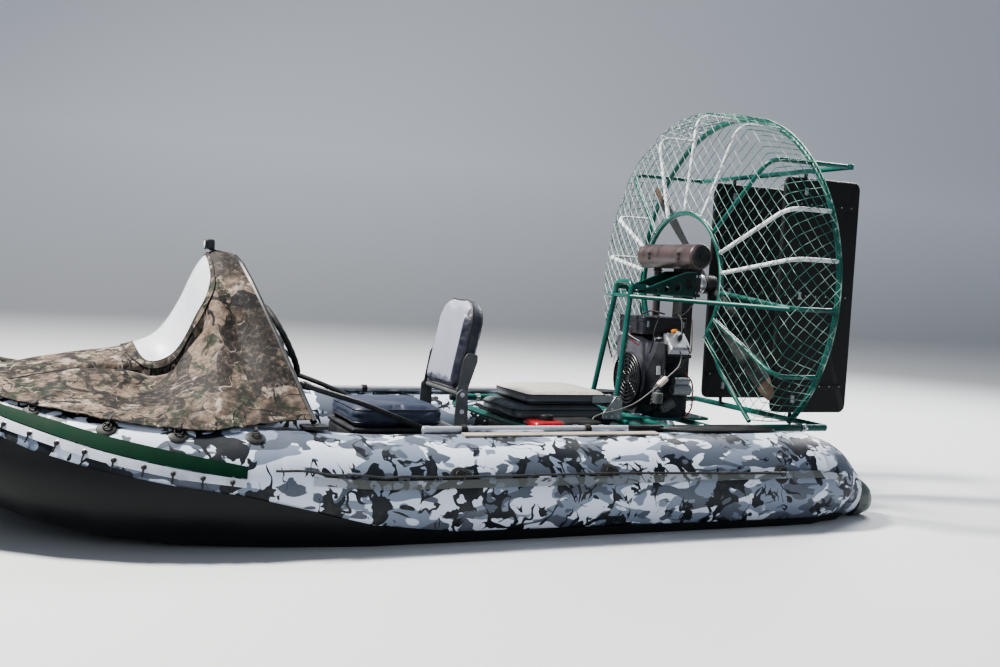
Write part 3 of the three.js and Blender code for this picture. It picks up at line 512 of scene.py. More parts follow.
def woodland_cloth(name):
    """Cover cloth: layered boughs and leaves in tan, brown, olive, grey and near-black."""
    cover = bpy.context.scene.airboat_cover
    web = Web(name, specular_ior_level=0.15)
    broad = web.noise(4.6, 6, 0.66, 0.5, web.stretched((1, 1, 0.6)))
    tone = web.mix(broad.to(0, 1, 0.42, 0.58), tuple(cover.tan), tuple(cover.brown))
    leaf = web.noise(11, 4, 0.62, 0.7, web.stretched((1.2, 1, 0.55), (0.5, 0.3, 0.2), (2, 5, 1)))
    tone = web.mix(leaf.above(0.54, 0.03), tone, tuple(cover.olive))
    pale = web.noise(10, 5, 0.66, 0.6, web.stretched((1, 1, 0.55), (0.2, 0.7, 0.1), (9, 2, 7)))
    tone = web.mix(pale.above(0.585, 0.03) * 0.9, tone, tuple(cover.pale))
    bough = twigs(web, 3.4, (1.9, 1.4, 0.35), (6.0, 1.0, 3.0), 0.42, 0.42, 0.15)
    bark = web.noise(60, 4, 0.7, 0.5, web.stretched((1.6, 1, 0.25)))
    wood = web.mix(bark.to(0, 1, 0.40, 0.62), tuple(cover.shadow), tuple(cover.brown))
    tone = web.mix(bough, tone, wood)
    for scale, stretch, shift in ((7.0, (1.6, 1.3, 0.35), (2.0, 8.0, 5.0)),
                                  (8.0, (0.6, 1.2, 1.3), (4.0, 2.0, 7.0))):
        tone = web.mix(twigs(web, scale, stretch, shift, 0.43, 0.11, 0.2), tone,
                       tuple(cover.shadow))
    bright = twigs(web, 11, (1.5, 1.1, 0.5), (5.0, 3.0, 9.0), 0.52, 0.10, 0.3)
    tone = web.mix(bright * 0.8, tone, tuple(cover.pale))
    mottle = web.noise(42, 6, 0.72)
    tone = web.mix(mottle.to(0, 0.6, 0.46, 0.62), tone, tuple(cover.shadow))
    tone = web.mix(mottle.to(0.22, 0, 0.36, 0.48), tone, tuple(cover.pale))
    faded = web.noise(2.2, 3)
    weave = web.noise(700, 1) + web.noise(40, 3) * 0.5
    return web.feed(Base_Color=tone, Roughness=faded.to(0.62, 0.8),
                    Normal=web.bump(weave, 0.3, 0.0012))


def milky_sheet_painted_sky(name):
    """Flexible window sheet, milky with haze in streaks; its near-white colour is partly the
    sheet's milkiness and partly painted reflection of the sky.
    """
    web = Web(name, transmission_weight=0.40, ior=1.3, coat_weight=0.5, coat_roughness=0.12)
    haze = web.noise(7, 5, 0.6, 0.5, web.stretched((1, 3, 1)))
    # near-white base colour: partly painted reflection of the sky
    tone = web.mix(haze.to(0, 1), (0.92, 0.94, 0.98), (0.76, 0.80, 0.86))
    return web.feed(Base_Color=tone, Roughness=haze.to(0.16, 0.42),
                    Normal=web.bump(web.noise(5, 2), 0.4, 0.004))


def painted_green(name):
    """Green paint on steel: two greens, worn pale spots, slight orange peel."""
    cage = bpy.context.scene.airboat_cage
    web = Web(name, coat_weight=0.10, coat_roughness=0.3, specular_ior_level=0.35)
    broad = web.noise(8, 4)
    tone = web.mix(broad.to(0, 1), tuple(cage.paint), tuple(cage.paint_worn))
    chips = web.noise(60, 3, 0.7).above(0.70, 0.02)
    tone = web.mix(chips, tone, (0.30, 0.36, 0.32))
    return web.feed(Base_Color=tone, Roughness=broad.to(0.28, 0.45),
                    Normal=web.bump(web.noise(300, 2), 0.15, 0.0004))


def net_wire(name):
    """Plastic-coated wire: green, with pale stretches that are painted highlights of its gloss."""
    web = Web(name, specular_ior_level=0.3)
    painted_glint_noise = web.noise(11, 5, 0.65)
    # pale where the noise is high: painted highlights on the wire
    tone = web.mix(painted_glint_noise.to(0, 1, 0.46, 0.64), (0.008, 0.082, 0.064), (0.26, 0.39, 0.34))
    return web.feed(Base_Color=tone, Roughness=painted_glint_noise.to(0.3, 0.5),
                    Normal=web.bump(web.noise(400, 2), 0.1, 0.0003))


def hot_metal(name):
    """Muffler skin: brown heat stain in bands over dark steel."""
    web = Web(name, metallic=0.35)
    band = web.noise(6, 4, 0.6, 0.4, web.stretched((1, 3, 1)))
    tone = web.mix(band.to(0, 1, 0.35, 0.65), (0.040, 0.031, 0.033), (0.092, 0.066, 0.066))
    rust = web.noise(45, 5, 0.7).above(0.60, 0.05)
    tone = web.mix(rust * 0.5, tone, (0.10, 0.045, 0.03))
    return web.feed(Base_Color=tone, Roughness=band.to(0.3, 0.5),
                    Normal=web.bump(web.noise(200, 4), 0.3, 0.0006))


def studio_paint(name):
    """Matt paint of the stage: pale grey, painted paler where it rises behind the boat, as painted
    light on the upright part.
    """
    web = Web(name, specular_ior_level=0.2)
    # paler with height: painted light on the rising backdrop
    tone = web.mix(web.axis(2).to(0, 1, 0.1, 3.5), (0.50, 0.51, 0.52), (0.84, 0.86, 0.90))
    return web.feed(Base_Color=tone, Roughness=web.noise(1.2, 3).to(0.62, 0.78))


def split(first, second, normal, edge, grain=420.0, soft=0.0008, half=9.0):
    """Maker of coated cloth: the second colour where normal . p > edge and |y| < half; a paler
    second colour is painted light on the faces toward the lamps.
    """
    def make(name):
        web = Web(name, specular_ior_level=0.3)
        x, y, z = normal
        along = web.axis(0) * x + web.axis(1) * y + web.axis(2) * z
        inside = 1 - web.axis(1).math("ABSOLUTE").above(half, soft)
        broad = web.noise(14, 4)
        # second colour on the faces past the edge: painted light where it is the paler
        tone = web.mix(along.above(edge, soft) * inside, first, second)
        tone = web.mix(broad.to(0, 0.22), tone, (0.16, 0.16, 0.17))
        return web.feed(Base_Color=tone, Roughness=broad.to(0.38, 0.55),
                        Normal=web.bump(web.noise(grain, 2), 0.4, 0.0006))
    return make


MAKERS = {
    "seat_two_tone": split((0.020, 0.030, 0.060), (0.020, 0.030, 0.060), (0, 0, 1), 0.5),
    # driver's back: navy bolsters in their own colour, the front panel painted pale as painted
    # light from the bow
    "back_painted_lit_front": split((0.010, 0.013, 0.026), (0.27, 0.28, 0.35), (0.9816, 0, 0.1908),
                           -0.0508, half=0.142),
    # second cushion: dark grey, its bow-facing front painted pale as painted light
    "second_painted_lit_front": split((0.075, 0.09, 0.10), (0.42, 0.43, 0.45), (1, 0, 0), -0.4152),
    # folded back: painted sunlight on the beige top and painted shade on the dark sides
    "fold_painted_lit_top": split((0.085, 0.098, 0.11), (0.42, 0.40, 0.37), (0, 0, 1), 0.4975),
    "seat_welt": plain((0.018, 0.02, 0.024), (0.04, 0.042, 0.048), (0.4, 0.6), 500, 0.4, 20),
    "blade_gloss": plain((0.008, 0.008, 0.009), (0.018, 0.018, 0.02), (0.3, 0.45), 400, 0.1, 8),
    "board_beige": plain((0.34, 0.30, 0.26), (0.24, 0.21, 0.18), (0.5, 0.7), 500, 0.3, 12),
    "grille_dark": plain((0.012, 0.012, 0.015), (0.028, 0.028, 0.033), (0.3, 0.45), 700, 0.2, 12),
    # gusset plates: the frame's green darkened, as painted shade on their faces
    "gusset_painted_shade": plain((0.003, 0.022, 0.019), (0.008, 0.045, 0.037), (0.3, 0.5), 300, 0.2, 9),
    # pale copy of the shroud's black: painted highlights on the housing's ribs
    "shroud_painted_highlight": plain((0.15, 0.15, 0.18), (0.24, 0.24, 0.28), (0.3, 0.45), 700, 0.25, 12),
    "filter_grey_paint": plain((0.075, 0.082, 0.080), (0.14, 0.145, 0.14), (0.35, 0.5), 400, 0.2,
                               20),
    "tube_camouflage": urban_camouflage,
    "strake_camouflage": urban_camouflage,
    "cover_cloth": woodland_cloth,
    "window_sheet": milky_sheet_painted_sky,
    "green_paint": painted_green,
    "net_coating": net_wire,
    "muffler_steel": hot_metal,
    "skin_black": plain((0.004, 0.005, 0.006), (0.009, 0.010, 0.011), (0.4, 0.55), 500, 0.15, 5,
                        specular_ior_level=0.25),
    "band_green": plain((0.001, 0.020, 0.009), (0.003, 0.032, 0.016), (0.65, 0.8), 600, 0.2, 12,
                        specular_ior_level=0.12),
    "strip_pale": plain((0.50, 0.53, 0.60), (0.36, 0.38, 0.42), (0.4, 0.6), 600, 0.2, 14),
    "cap_smoky": plain((0.05, 0.065, 0.06), (0.10, 0.12, 0.11), (0.25, 0.45), 400, 0.2, 9),
    "floor_mat": plain((0.17, 0.175, 0.18), (0.11, 0.11, 0.11), (0.6, 0.8), 260, 0.5, 9),
    "black_paint": plain((0.014, 0.015, 0.017), (0.04, 0.04, 0.042), (0.3, 0.5), 300, 0.2, 9),
    "black_plastic": plain((0.018, 0.019, 0.022), (0.045, 0.046, 0.05), (0.38, 0.55), 900, 0.3, 8),
    "black_rubber": plain((0.015, 0.015, 0.016), (0.03, 0.03, 0.03), (0.5, 0.7), 700, 0.3, 12),
    "shroud_dark": plain((0.012, 0.013, 0.019), (0.026, 0.027, 0.036), (0.30, 0.45), 900, 0.25, 9),
    # fan shroud: black, its bow-facing front painted paler as painted light
    "shroud_painted_lit_face": split((0.012, 0.013, 0.018), (0.055, 0.055, 0.072), (1, 0, 0.17), -0.9930,
                         900, 0.0015),
    "engine_dark": plain((0.010, 0.013, 0.016), (0.030, 0.036, 0.040), (0.4, 0.6), 160, 0.5, 12),
    "cast_silver": plain((0.52, 0.53, 0.56), (0.36, 0.37, 0.39), (0.3, 0.5), 220, 0.4, 14,
                         metallic=0.8),
    "dull_silver": plain((0.30, 0.32, 0.33), (0.20, 0.22, 0.22), (0.35, 0.55), 220, 0.3, 16,
                         metallic=0.6),
    "bright_steel": plain((0.62, 0.63, 0.65), (0.42, 0.43, 0.44), (0.22, 0.4), 300, 0.2, 20,
                          metallic=0.95),
    "paddle_alloy": plain((0.62, 0.64, 0.68), (0.45, 0.47, 0.5), (0.3, 0.45), 300, 0.2, 14,
                          metallic=0.7),
    "bracket_grey": plain((0.085, 0.09, 0.095), (0.13, 0.135, 0.14), (0.4, 0.6), 250, 0.3, 16,
                          metallic=0.4),
    "can_red": plain((0.28, 0.012, 0.012), (0.20, 0.02, 0.018), (0.3, 0.45), 400, 0.2, 9,
                     coat_weight=0.2),
    "cable_red": plain((0.26, 0.020, 0.012), (0.16, 0.015, 0.010), (0.35, 0.5), 400, 0.2, 30),
    "cable_brown": plain((0.06, 0.035, 0.022), (0.04, 0.025, 0.018), (0.4, 0.6), 400, 0.2, 30),
    "hose_pale": plain((0.20, 0.20, 0.19), (0.11, 0.11, 0.105), (0.3, 0.5), 400, 0.2, 30),
    "filter_white": plain((0.66, 0.56, 0.50), (0.52, 0.42, 0.36), (0.35, 0.5), 400, 0.2, 30),
    "cap_orange": plain((0.55, 0.20, 0.03), (0.40, 0.14, 0.02), (0.35, 0.5), 400, 0.2, 30),
    "tape_white": plain((0.62, 0.62, 0.66), (0.34, 0.36, 0.37), (0.5, 0.7), 240, 0.6, 18),
    "rudder_black": plain((0.005, 0.006, 0.007), (0.010, 0.011, 0.013), (0.5, 0.65), 500, 0.15, 5,
                          specular_ior_level=0.3),
    "blade_dark": plain((0.016, 0.018, 0.020), (0.030, 0.032, 0.034), (0.6, 0.75), 500, 0.1, 6,
                        specular_ior_level=0.25),
    "blade_tip": plain((0.10, 0.065, 0.050), (0.07, 0.048, 0.040), (0.6, 0.75), 500, 0.1, 10,
                       specular_ior_level=0.25),
    "rope_black": plain((0.02, 0.02, 0.022), (0.05, 0.05, 0.05), (0.6, 0.8), 800, 0.8, 30),
    "plate_bare": plain((0.55, 0.56, 0.58), (0.42, 0.43, 0.45), (0.35, 0.5), 300, 0.1, 20),
    "lens_clear": plain((0.72, 0.75, 0.78), (0.60, 0.62, 0.66), (0.08, 0.16), 200, 0.1, 20),
    "studio_floor": studio_paint,
}


# Hull
def tube_place(u):
    """Centre, outward, upward and radius at u, in rows of TUBE, on a Catmull-Rom line."""
    u = np.asarray(u, float)
    rows = np.vstack([2 * TUBE[0] - TUBE[1], TUBE, 2 * TUBE[-1] - TUBE[-2]])
    i = np.clip(np.floor(u).astype(int), 0, len(TUBE) - 2)
    t = (u - i)[..., None]
    a, b, c, d = (rows[i + k] for k in range(4))
    row = 0.5 * (2 * b + (c - a) * t + (2 * a - 5 * b + 4 * c - d) * t ** 2
                 + (3 * b - a - 3 * c + d) * t ** 3)
    way = 0.5 * ((c - a) + 2 * (2 * a - 5 * b + 4 * c - d) * t
                 + 3 * (3 * b - a - 3 * c + d) * t ** 2)[..., :3]
    way = way / np.linalg.norm(way, axis=-1, keepdims=True)
    out = np.stack([-way[..., 1], way[..., 0], np.zeros_like(u)], -1)
    out = out / np.linalg.norm(out, axis=-1, keepdims=True)
    return row[..., :3], out, np.cross(way, out), row[..., 3]


def on_tube(u, degrees, lift=0.0):
    """Point at an angle round the tube, from straight outward up over the top."""
    c, out, up, r = tube_place(u)
    t = np.radians(degrees)[..., None]
    return c + (r[..., None] + np.asarray(lift)[..., None]) * (out * np.cos(t) + up * np.sin(t))


def step_at(u):
    """Metres that one step of u stands for."""
    return np.linalg.norm(tube_place(np.array(u + 0.05))[0] - tube_place(np.array(u))[0]) / 0.05


def puff(u, degrees):
    """Height of the fabric over the round tube: pinched seams every 0.6 m and slow, low dents."""
    x = tube_place(u)[0][..., 0]
    seam = np.exp(-((np.mod(x + 1.55, 0.62) - 0.31) / 0.010) ** 2)
    lap = np.exp(-((degrees + 4) / 2.2) ** 2)
    dents = np.sin(7.3 * x + 0.05 * degrees) * np.sin(0.045 * degrees + 3.1 * x)
    return -0.0022 * seam + 0.0012 * lap + 0.0010 * dents - 0.0012


def meeting(t, low=12.0, high=16.0):
    """Place u where the tube's side at each angle t reaches the plane y = 0, by halving."""
    low, high = np.full_like(t, low), np.full_like(t, high)
    for _ in range(30):
        mid = (low + high) / 2
        inside = on_tube(mid, t)[..., 1] > 0.0008
        low, high = np.where(inside, mid, low), np.where(inside, high, mid)
    return low


def tube_form():
    """P(u, t) = centre + (r + puff)(out cos t + up sin t), its last ring cut by y = 0."""
    first, bend_at = 0.257, 12.0
    t = np.linspace(0, 360, 73)[:-1]
    side = np.concatenate([np.linspace(first, 4, 26), np.linspace(4, 5, 74)[1:],
                           np.linspace(5, bend_at, 90)[1:]])
    v = np.linspace(0, 1, 44)[1:, None]
    u = np.vstack([np.repeat(side[:, None], len(t), 1), bend_at + v * (meeting(t) - bend_at)])
    degrees = np.repeat(t[None], len(u), 0)
    wrapped = (degrees + 180) % 360 - 180
    return loft(on_tube(u, degrees, puff(u, wrapped)))


def nose_skin_form(first=13.9, top=36.0, bottom=-140.0):
    """Skin round the nose: on_tube(u, t) from the bottom skin's last ring to the plane y = 0."""
    t = np.linspace(top, bottom, 48)
    v = np.linspace(0, 1, 18)[:, None]
    u = first + v * (meeting(t) - first)
    return shell(on_tube(u, np.repeat(t[None], len(v), 0)), 0.0040, 0.0016)


def band_form(rows, thick, lift, across=6, along=5):
    """Strip on the tube between two angles that vary along it: on_tube(u, upper..lower)."""
    rows = spline(rows, along)
    f = np.linspace(1, 0, across)
    degrees = rows[:, 1:2] + (rows[:, 2:3] - rows[:, 1:2]) * f
    grid = on_tube(np.repeat(rows[:, :1], across, 1), degrees)
    ahead = grid[:, :, 1] > 0.004
    count = int(np.argmin(ahead.all(1))) if not ahead.all() else len(rows)
    return shell(grid[:count], thick, lift)


# Strips on the tube: place along it, and the angles of the lower and the upper edge
GREEN_ROWS = [
    [8, 15.5, 26.5], [9, 22, 36], [10, 30, 44.5], [11, 38.5, 52.5], [12, 44, 55], [13, 46, 57],
    [14, 48, 57], [15, 49, 57], [16, 49, 57],
]
PALE_ROWS = [
    [8, 7.5, 14.5], [9, 12.5, 21], [10, 20, 29], [11, 28.5, 37.5], [12, 33, 43], [13, 37, 45],
    [14, 39, 47], [15, 40, 48], [16, 40, 48],
]
STRAKE_ROWS = [[2, 10, 18], [3, 12, 20], [4, 13, 21], [5, 13, 21], [6, 13, 21], [7, 13, 21]]


class AIRBOAT_OT_tubes(bpy.types.Operator):
    """Inflated tubes in camouflage fabric"""

    bl_idname = "airboat.tubes"
    bl_label = "Tubes"

    def execute(self, context):
        pair("tube_fabric", tube_form(), "tube_camouflage", "tube")
        return {"FINISHED"}


class AIRBOAT_OT_bands(bpy.types.Operator):
    """Green bow band, pale lacing strip and side strakes"""

    bl_idname = "airboat.bands"
    bl_label = "Bands"

    def execute(self, context):
        table = (("bow_band", GREEN_ROWS, 0.0035, 0.0012, "band_green"),
                 ("lacing_strip", PALE_ROWS, 0.0035, 0.0012, "strip_pale"),
                 ("rub_strake", STRAKE_ROWS, 0.0100, 0.0006, "strake_camouflage"))
        for name, rows, thick, lift, look in table:
            pair(f"{name}_strip", band_form(rows, thick, lift), look, name)
        return {"FINISHED"}


class AIRBOAT_OT_bottom(bpy.types.Operator):
    """Bottom skin, stern caps and floor"""

    bl_idname = "airboat.bottom"
    bl_label = "Bottom"

    def execute(self, context):
        dress(["bottom_skin"], "skin_black", 60)
        pair("nose_skin", nose_skin_form(), "skin_black")
        dress(["stern_cap_port", "stern_cap_starboard"], "cap_smoky")
        dress(["floor_board"], "floor_mat")
        return {"FINISHED"}


# Cover

# Bow cover: x, y, z of the ridge, shoulder, fold and hem, from the arch to the nose
COVER = np.array([
    [[0.665, 0, 1.030], [0.635, 0.218, 0.935], [0.574, 0.424, 0.744], [0.487, 0.705, 0.470]],
    [[0.735, 0, 1.036], [0.708, 0.214, 0.930], [0.664, 0.430, 0.728], [0.650, 0.742, 0.462]],
    [[0.768, 0, 1.010], [0.757, 0.204, 0.898], [0.764, 0.428, 0.672], [0.850, 0.782, 0.452]],
    [[0.800, 0, 0.960], [0.800, 0.200, 0.823], [0.850, 0.318, 0.648], [0.980, 0.772, 0.453]],
    [[0.860, 0, 0.830], [0.862, 0.200, 0.678], [0.906, 0.332, 0.578], [1.080, 0.740, 0.460]],
    [[0.946, 0, 0.705], [0.946, 0.200, 0.620], [0.978, 0.334, 0.554], [1.180, 0.700, 0.480]],
    [[1.066, 0, 0.655], [1.066, 0.198, 0.617], [1.085, 0.318, 0.576], [1.290, 0.650, 0.490]],
    [[1.264, 0, 0.622], [1.262, 0.190, 0.602], [1.260, 0.300, 0.578], [1.410, 0.560, 0.510]],
    [[1.485, 0, 0.580], [1.475, 0.160, 0.566], [1.462, 0.262, 0.552], [1.520, 0.480, 0.530]],
    [[1.640, 0, 0.592], [1.632, 0.130, 0.588], [1.618, 0.220, 0.584], [1.640, 0.360, 0.560]],
    [[1.790, 0, 0.640], [1.782, 0.066, 0.639], [1.762, 0.112, 0.637], [1.700, 0.170, 0.634]],
    [[1.880, 0, 0.690], [1.874, 0.025, 0.689], [1.862, 0.042, 0.687], [1.830, 0.060, 0.684]],
])
HEM_LIFT, CLOTH_GAP = 0.014, 0.006      # of the hem over the tube, and of the cloth everywhere
HEM_PLACES = [8.65, 9.3, 9.8, 10.35, 10.95, 11.6, 12.3, 13.1]     # on the tube, stations 3 to 10
ALONG, ACROSS = 10, 14         # grid cells between two stations, and between two of their points


def through(points, steps):
    """Curve along the first axis: a cubic between two points, whose end slopes come from the
    points beside them, spaced by the square root of their distances."""
    p = np.asarray(points, float)
    p = np.concatenate([2 * p[:1] - p[1:2], p, 2 * p[-1:] - p[-2:-1]])
    gap = np.maximum(np.linalg.norm(np.diff(p, axis=0), axis=-1, keepdims=True), 1e-9) ** 0.5
    a, b, c, d = p[:-3], p[1:-2], p[2:-1], p[3:]
    g, h, k = gap[:-2], gap[1:-1], gap[2:]
    leave = ((b - a) / g - (c - a) / (g + h) + (c - b) / h) * h
    reach = ((c - b) / h - (d - b) / (h + k) + (d - c) / k) * h
    t = np.linspace(0, 1, steps, endpoint=False).reshape(1, -1, *[1] * (p.ndim - 1))
    b, c, leave, reach = (v[:, None] for v in (b, c, leave, reach))
    curve = (b * (2 * t ** 3 - 3 * t ** 2 + 1) + leave * (t ** 3 - 2 * t ** 2 + t)
             + c * (3 * t ** 2 - 2 * t ** 3) + reach * (t ** 3 - t ** 2))
    return np.concatenate([curve.reshape(-1, *p.shape[1:]), p[-2:-1]])


def clear_of_tubes(points, gap):
    """Points nearer than gap to a tube's skin are moved out to it, straight from its centre."""
    p = points.reshape(-1, 3)
    side = np.stack([np.ones(len(p)), np.where(p[:, 1] < 0, -1, 1), np.ones(len(p))], -1)
    q = p * side
    centre, _, _, radius = tube_place(np.linspace(3, 15.4, 171))
    far = np.linalg.norm(q[:, None] - centre[None], axis=-1) - radius
    k = far.argmin(1)
    near = far[np.arange(len(q)), k]
    away = (q - centre[k]) / (near + radius[k])[:, None]
    q = np.where((near < gap)[:, None], centre[k] + away * (radius[k] + gap)[:, None], q)
    return (q * side).reshape(points.shape)


def cover_grid():
    """P(s, v): stations joined along s, each curved across v from hem to hem, then creased."""
    points = COVER.copy()
    places = np.array(HEM_PLACES)
    points[2:10, 3] = on_tube(places, np.full(len(places), 61.0), HEM_LIFT)
    half = points[:, 1:]
    line = np.concatenate([half[:, ::-1] * (1, -1, 1), points[:, :1], half], axis=1)
    across = through(line.swapaxes(0, 1), ACROSS)
    grid = through(across.swapaxes(0, 1), ALONG)
    return clear_of_tubes(grid + normals(grid) * creases(grid)[..., None], CLOTH_GAP)


# Place, width and height of the cover's folds: in v beside the ridge, and in s down its sides
BULGE, FOLD = (2.05, 0.28, 0.016), (1.44, 0.20, -0.034)
CREST, HOLLOW = (2.05, 0.38, 0.023), (1.20, 0.45, -0.036)
RAY_HEIGHT, RAY_REACH = 0.0075, 0.15


def hump(at, place, width, height):
    """Bell curve: height exp(-((at - place) / width)^2)."""
    return height * np.exp(-((at - place) / width) ** 2)


def creases(grid):
    """Height of the cloth: folds along the ridge and the sides, slow waves, rays from lashings."""
    x, y, z = np.moveaxis(grid, -1, 0)
    s = np.arange(grid.shape[0])[:, None] / ALONG
    v = np.abs(np.arange(grid.shape[1])[None] / ACROSS - 3)
    span = np.clip((s - 2.3) / 1.0, 0, 1) * np.clip((8.0 - s) / 2.0, 0, 1)
    span = span ** 2 * (3 - 2 * span)
    y = np.abs(y)
    height = span * (hump(v, *BULGE) + hump(v, *FOLD))
    panel = np.clip(v - 0.8, 0, 1) * (3.1 - v) / 1.6
    height += panel * (hump(s, *CREST) + hump(s, *HOLLOW))
    height += 0.0022 * np.sin(9 * x + 5 * y) * np.sin(13 * z - 6 * x + 2 * y)
    height += 0.0014 * np.sin(31 * x - 17 * y + 11 * z) * np.sin(14 * y + 3 * x)
    for u in LASHINGS:
        spot = on_tube(np.array(u), np.array(60.0), HEM_LIFT)
        dx, dy, dz = x - spot[0], y - spot[1], z - spot[2]
        far = np.sqrt(dx ** 2 + dy ** 2 + dz ** 2)
        ray = np.cos(9 * np.arctan2(dz + dy * -0.6, dx) + u)
        height += RAY_HEIGHT * np.exp(-far / RAY_REACH) * (1 - np.exp(-far / 0.03)) * ray
    return height


class Cloth:
    """The cover's grid with its normals; points are read from it at places between its rows."""

    def __init__(self):
        self.grid = cover_grid()
        self.out = normals(self.grid)

    def at(self, s, v, lift=0.0):
        """s counts stations and v points across, 0 at the ridge and 3 at the port hem."""
        i = np.clip(np.asarray(s, float) * ALONG, 0, self.grid.shape[0] - 1.001)
        j = np.clip((np.asarray(v, float) + 3) * ACROSS, 0, self.grid.shape[1] - 1.001)
        a, b = np.floor(i).astype(int), np.floor(j).astype(int)
        f, g = (i - a)[..., None], (j - b)[..., None]
        found = []
        for field in (self.grid, self.out):
            found.append((field[a, b] * (1 - f) + field[a + 1, b] * f) * (1 - g)
                         + (field[a, b + 1] * (1 - f) + field[a + 1, b + 1] * f) * g)
        return found[0] + found[1] * lift


def window_half(s, grow=0.0):
    """Half width of the window in v: a flat arch at the top, a waist, a squarer foot."""
    t = (s - WINDOW[0] + grow) / (WINDOW[1] - WINDOW[0] + 2 * grow)
    top = np.clip(1 - ((0.16 - np.minimum(t, 0.16)) / 0.16) ** 2, 0, 1) ** 0.5
    foot = np.clip(1 - np.clip((t - 0.78) / 0.22, 0, None) ** 4, 0, 1) ** 0.35
    waist = 1 - 0.13 * np.exp(-((s - 3.75) / 0.5) ** 2)
    return np.where((t > 0) & (t < 1), (WINDOW[2] + grow) * waist * np.minimum(top, foot), 0)


WINDOW = (1.66, 5.85, 1.16)     # first and last place along the cover, and widest half
# Metres that one step of s and of v stands for near the window
WINDOW_STEP = np.array([0.125, 0.20])


def window_edge(grow=0.0, steps=70):
    """The window's outline as s and v, once round from the top, grown outward by metres."""
    t = 0.5 - 0.5 * np.cos(np.pi * np.linspace(0.004, 0.996, steps))
    s = WINDOW[0] + (WINDOW[1] - WINDOW[0]) * t
    half = window_half(s)
    ring = np.vstack([np.column_stack([s, half]), np.column_stack([s, -half])[::-1]])
    ring = even_ring(ring * WINDOW_STEP, 150)
    way = np.roll(ring, -2, 0) - np.roll(ring, 2, 0)
    way = way / np.maximum(np.linalg.norm(way, axis=1, keepdims=True), 1e-9)
    return (ring + grow * np.column_stack([-way[:, 1], way[:, 0]])) / WINDOW_STEP


def even_ring(ring, count):
    """A closed line cut into equal steps, with its small kinks smoothed away."""
    ring = np.asarray(ring, float)
    for _ in range(2):
        ring = (np.roll(ring, 1, 0) + 2 * ring + np.roll(ring, -1, 0)) / 4
    ring = np.vstack([ring, ring[:1]])
    far = np.concatenate([[0], np.cumsum(np.linalg.norm(np.diff(ring, axis=0), axis=1))])
    place = np.linspace(0, far[-1], count, endpoint=False)
    return np.stack([np.interp(place, far, ring[:, k]) for k in range(ring.shape[1])], -1)


# Where the hem is lashed down, as places along the tube; patches have an angle and a radius too
LASHINGS = [7.90, 9.06, 10.12, 11.33, 12.6]
PATCHES = [[7.90, 60.2, 0.031], [9.06, 56.0, 0.031], [10.12, 53.5, 0.029], [11.33, 58.2, 0.027]]
# Places along the tube of the pale strip's eyelets
EYELETS = [8.21, 8.63, 9.04, 9.46, 9.87, 10.27, 10.68, 11.11, 11.54, 12.0, 12.5, 13.05, 13.6,
           14.2, 14.8]
ROPE_PATCHES = [[4.08, 18.2, 0.038], [4.58, 23.2, 0.040], [5.0, 23.2, 0.040]]


class AIRBOAT_OT_cover(bpy.types.Operator):
    """Bow cover of camouflage cloth with its window, seams and hem"""

    bl_idname = "airboat.cover"
    bl_label = "Bow cover"

    def execute(self, context):
        cloth = Cloth()
        rows, cols = cloth.grid.shape[:2]
        s = (np.arange(rows - 1) + 0.5) / ALONG
        v = (np.arange(cols - 1) + 0.5) / ACROSS - 3
        hole = np.abs(v)[None] < window_half(s)[:, None]
        cover = piece("cover_cloth", shell(cloth.grid, 0.0022, 0.0, ~hole),
                      "cover_cloth", stands_for=("bow_cover",), crease=60)
        pane = np.abs(v)[None] < window_half(s, 0.04)[:, None]
        sheet = piece("window_pane", shell(cloth.grid, 0.0012, 0.0028, pane),
                      "window_sheet", stands_for=("windscreen",), crease=60)
        border = self.border(cloth)
        hems = [self.hem(cloth, "port", 1), self.hem(cloth, "starboard", -1)]
        self.seams(cloth)
        self.area(cloth.grid, ~hole)
        self.area(cloth.grid, pane)
        return {"FINISHED"}

    def area(self, grid, keep):
        """Sum of the cells' areas, half the cross product of their diagonals."""
        one = grid[1:, 1:] - grid[:-1, :-1]
        two = grid[1:, :-1] - grid[:-1, 1:]
        return float((0.5 * np.linalg.norm(np.cross(one, two), axis=-1))[keep].sum())

    def border(self, cloth):
        """Strip of cloth sewn over the window's edge, 36 mm wide."""
        places = np.array([window_edge(grow) for grow in (0.016, 0.0, -0.020)])
        places = np.concatenate([places, places[:, :1]], 1)
        grid = cloth.at(places[..., 0], places[..., 1])
        return piece("window_border", shell(grid, 0.0016, 0.0044), "cover_cloth",
                     crease=60)

    def hem(self, cloth, name, side):
        """Doubled cloth along the hem, 30 mm wide."""
        s = np.linspace(0, 10.9, 180)[:, None]
        v = side * (3 - np.array([0.0, 0.05, 0.10])[None])
        grid = cloth.at(s + 0 * v, v + 0 * s)
        grid = grid if side < 0 else grid[:, ::-1]
        return piece(f"cover_hem_{name}", shell(grid, 0.0016, 0.0024), "cover_cloth",
                     crease=60)

    def seams(self, cloth):
        """Black piping along the bow panels, and round the window."""
        s = np.linspace(5.6, 10.95, 120)
        v = np.interp(s, [5.6, 6.3, 7.0, 8.0, 10.0, 11.0], [1.28, 1.32, 1.75, 2.06, 2.25, 2.6])
        bars = [carry(cloth.at(s, side * v, 0.0034), circle(0.0026, 8)) for side in (1, -1)]
        for grow in (0.016, -0.020):
            edge = window_edge(grow)
            bars.append(carry(cloth.at(edge[:, 0], edge[:, 1], 0.0062), circle(0.0016, 6), True))
        piece("cover_piping", joined(bars), "rope_black")


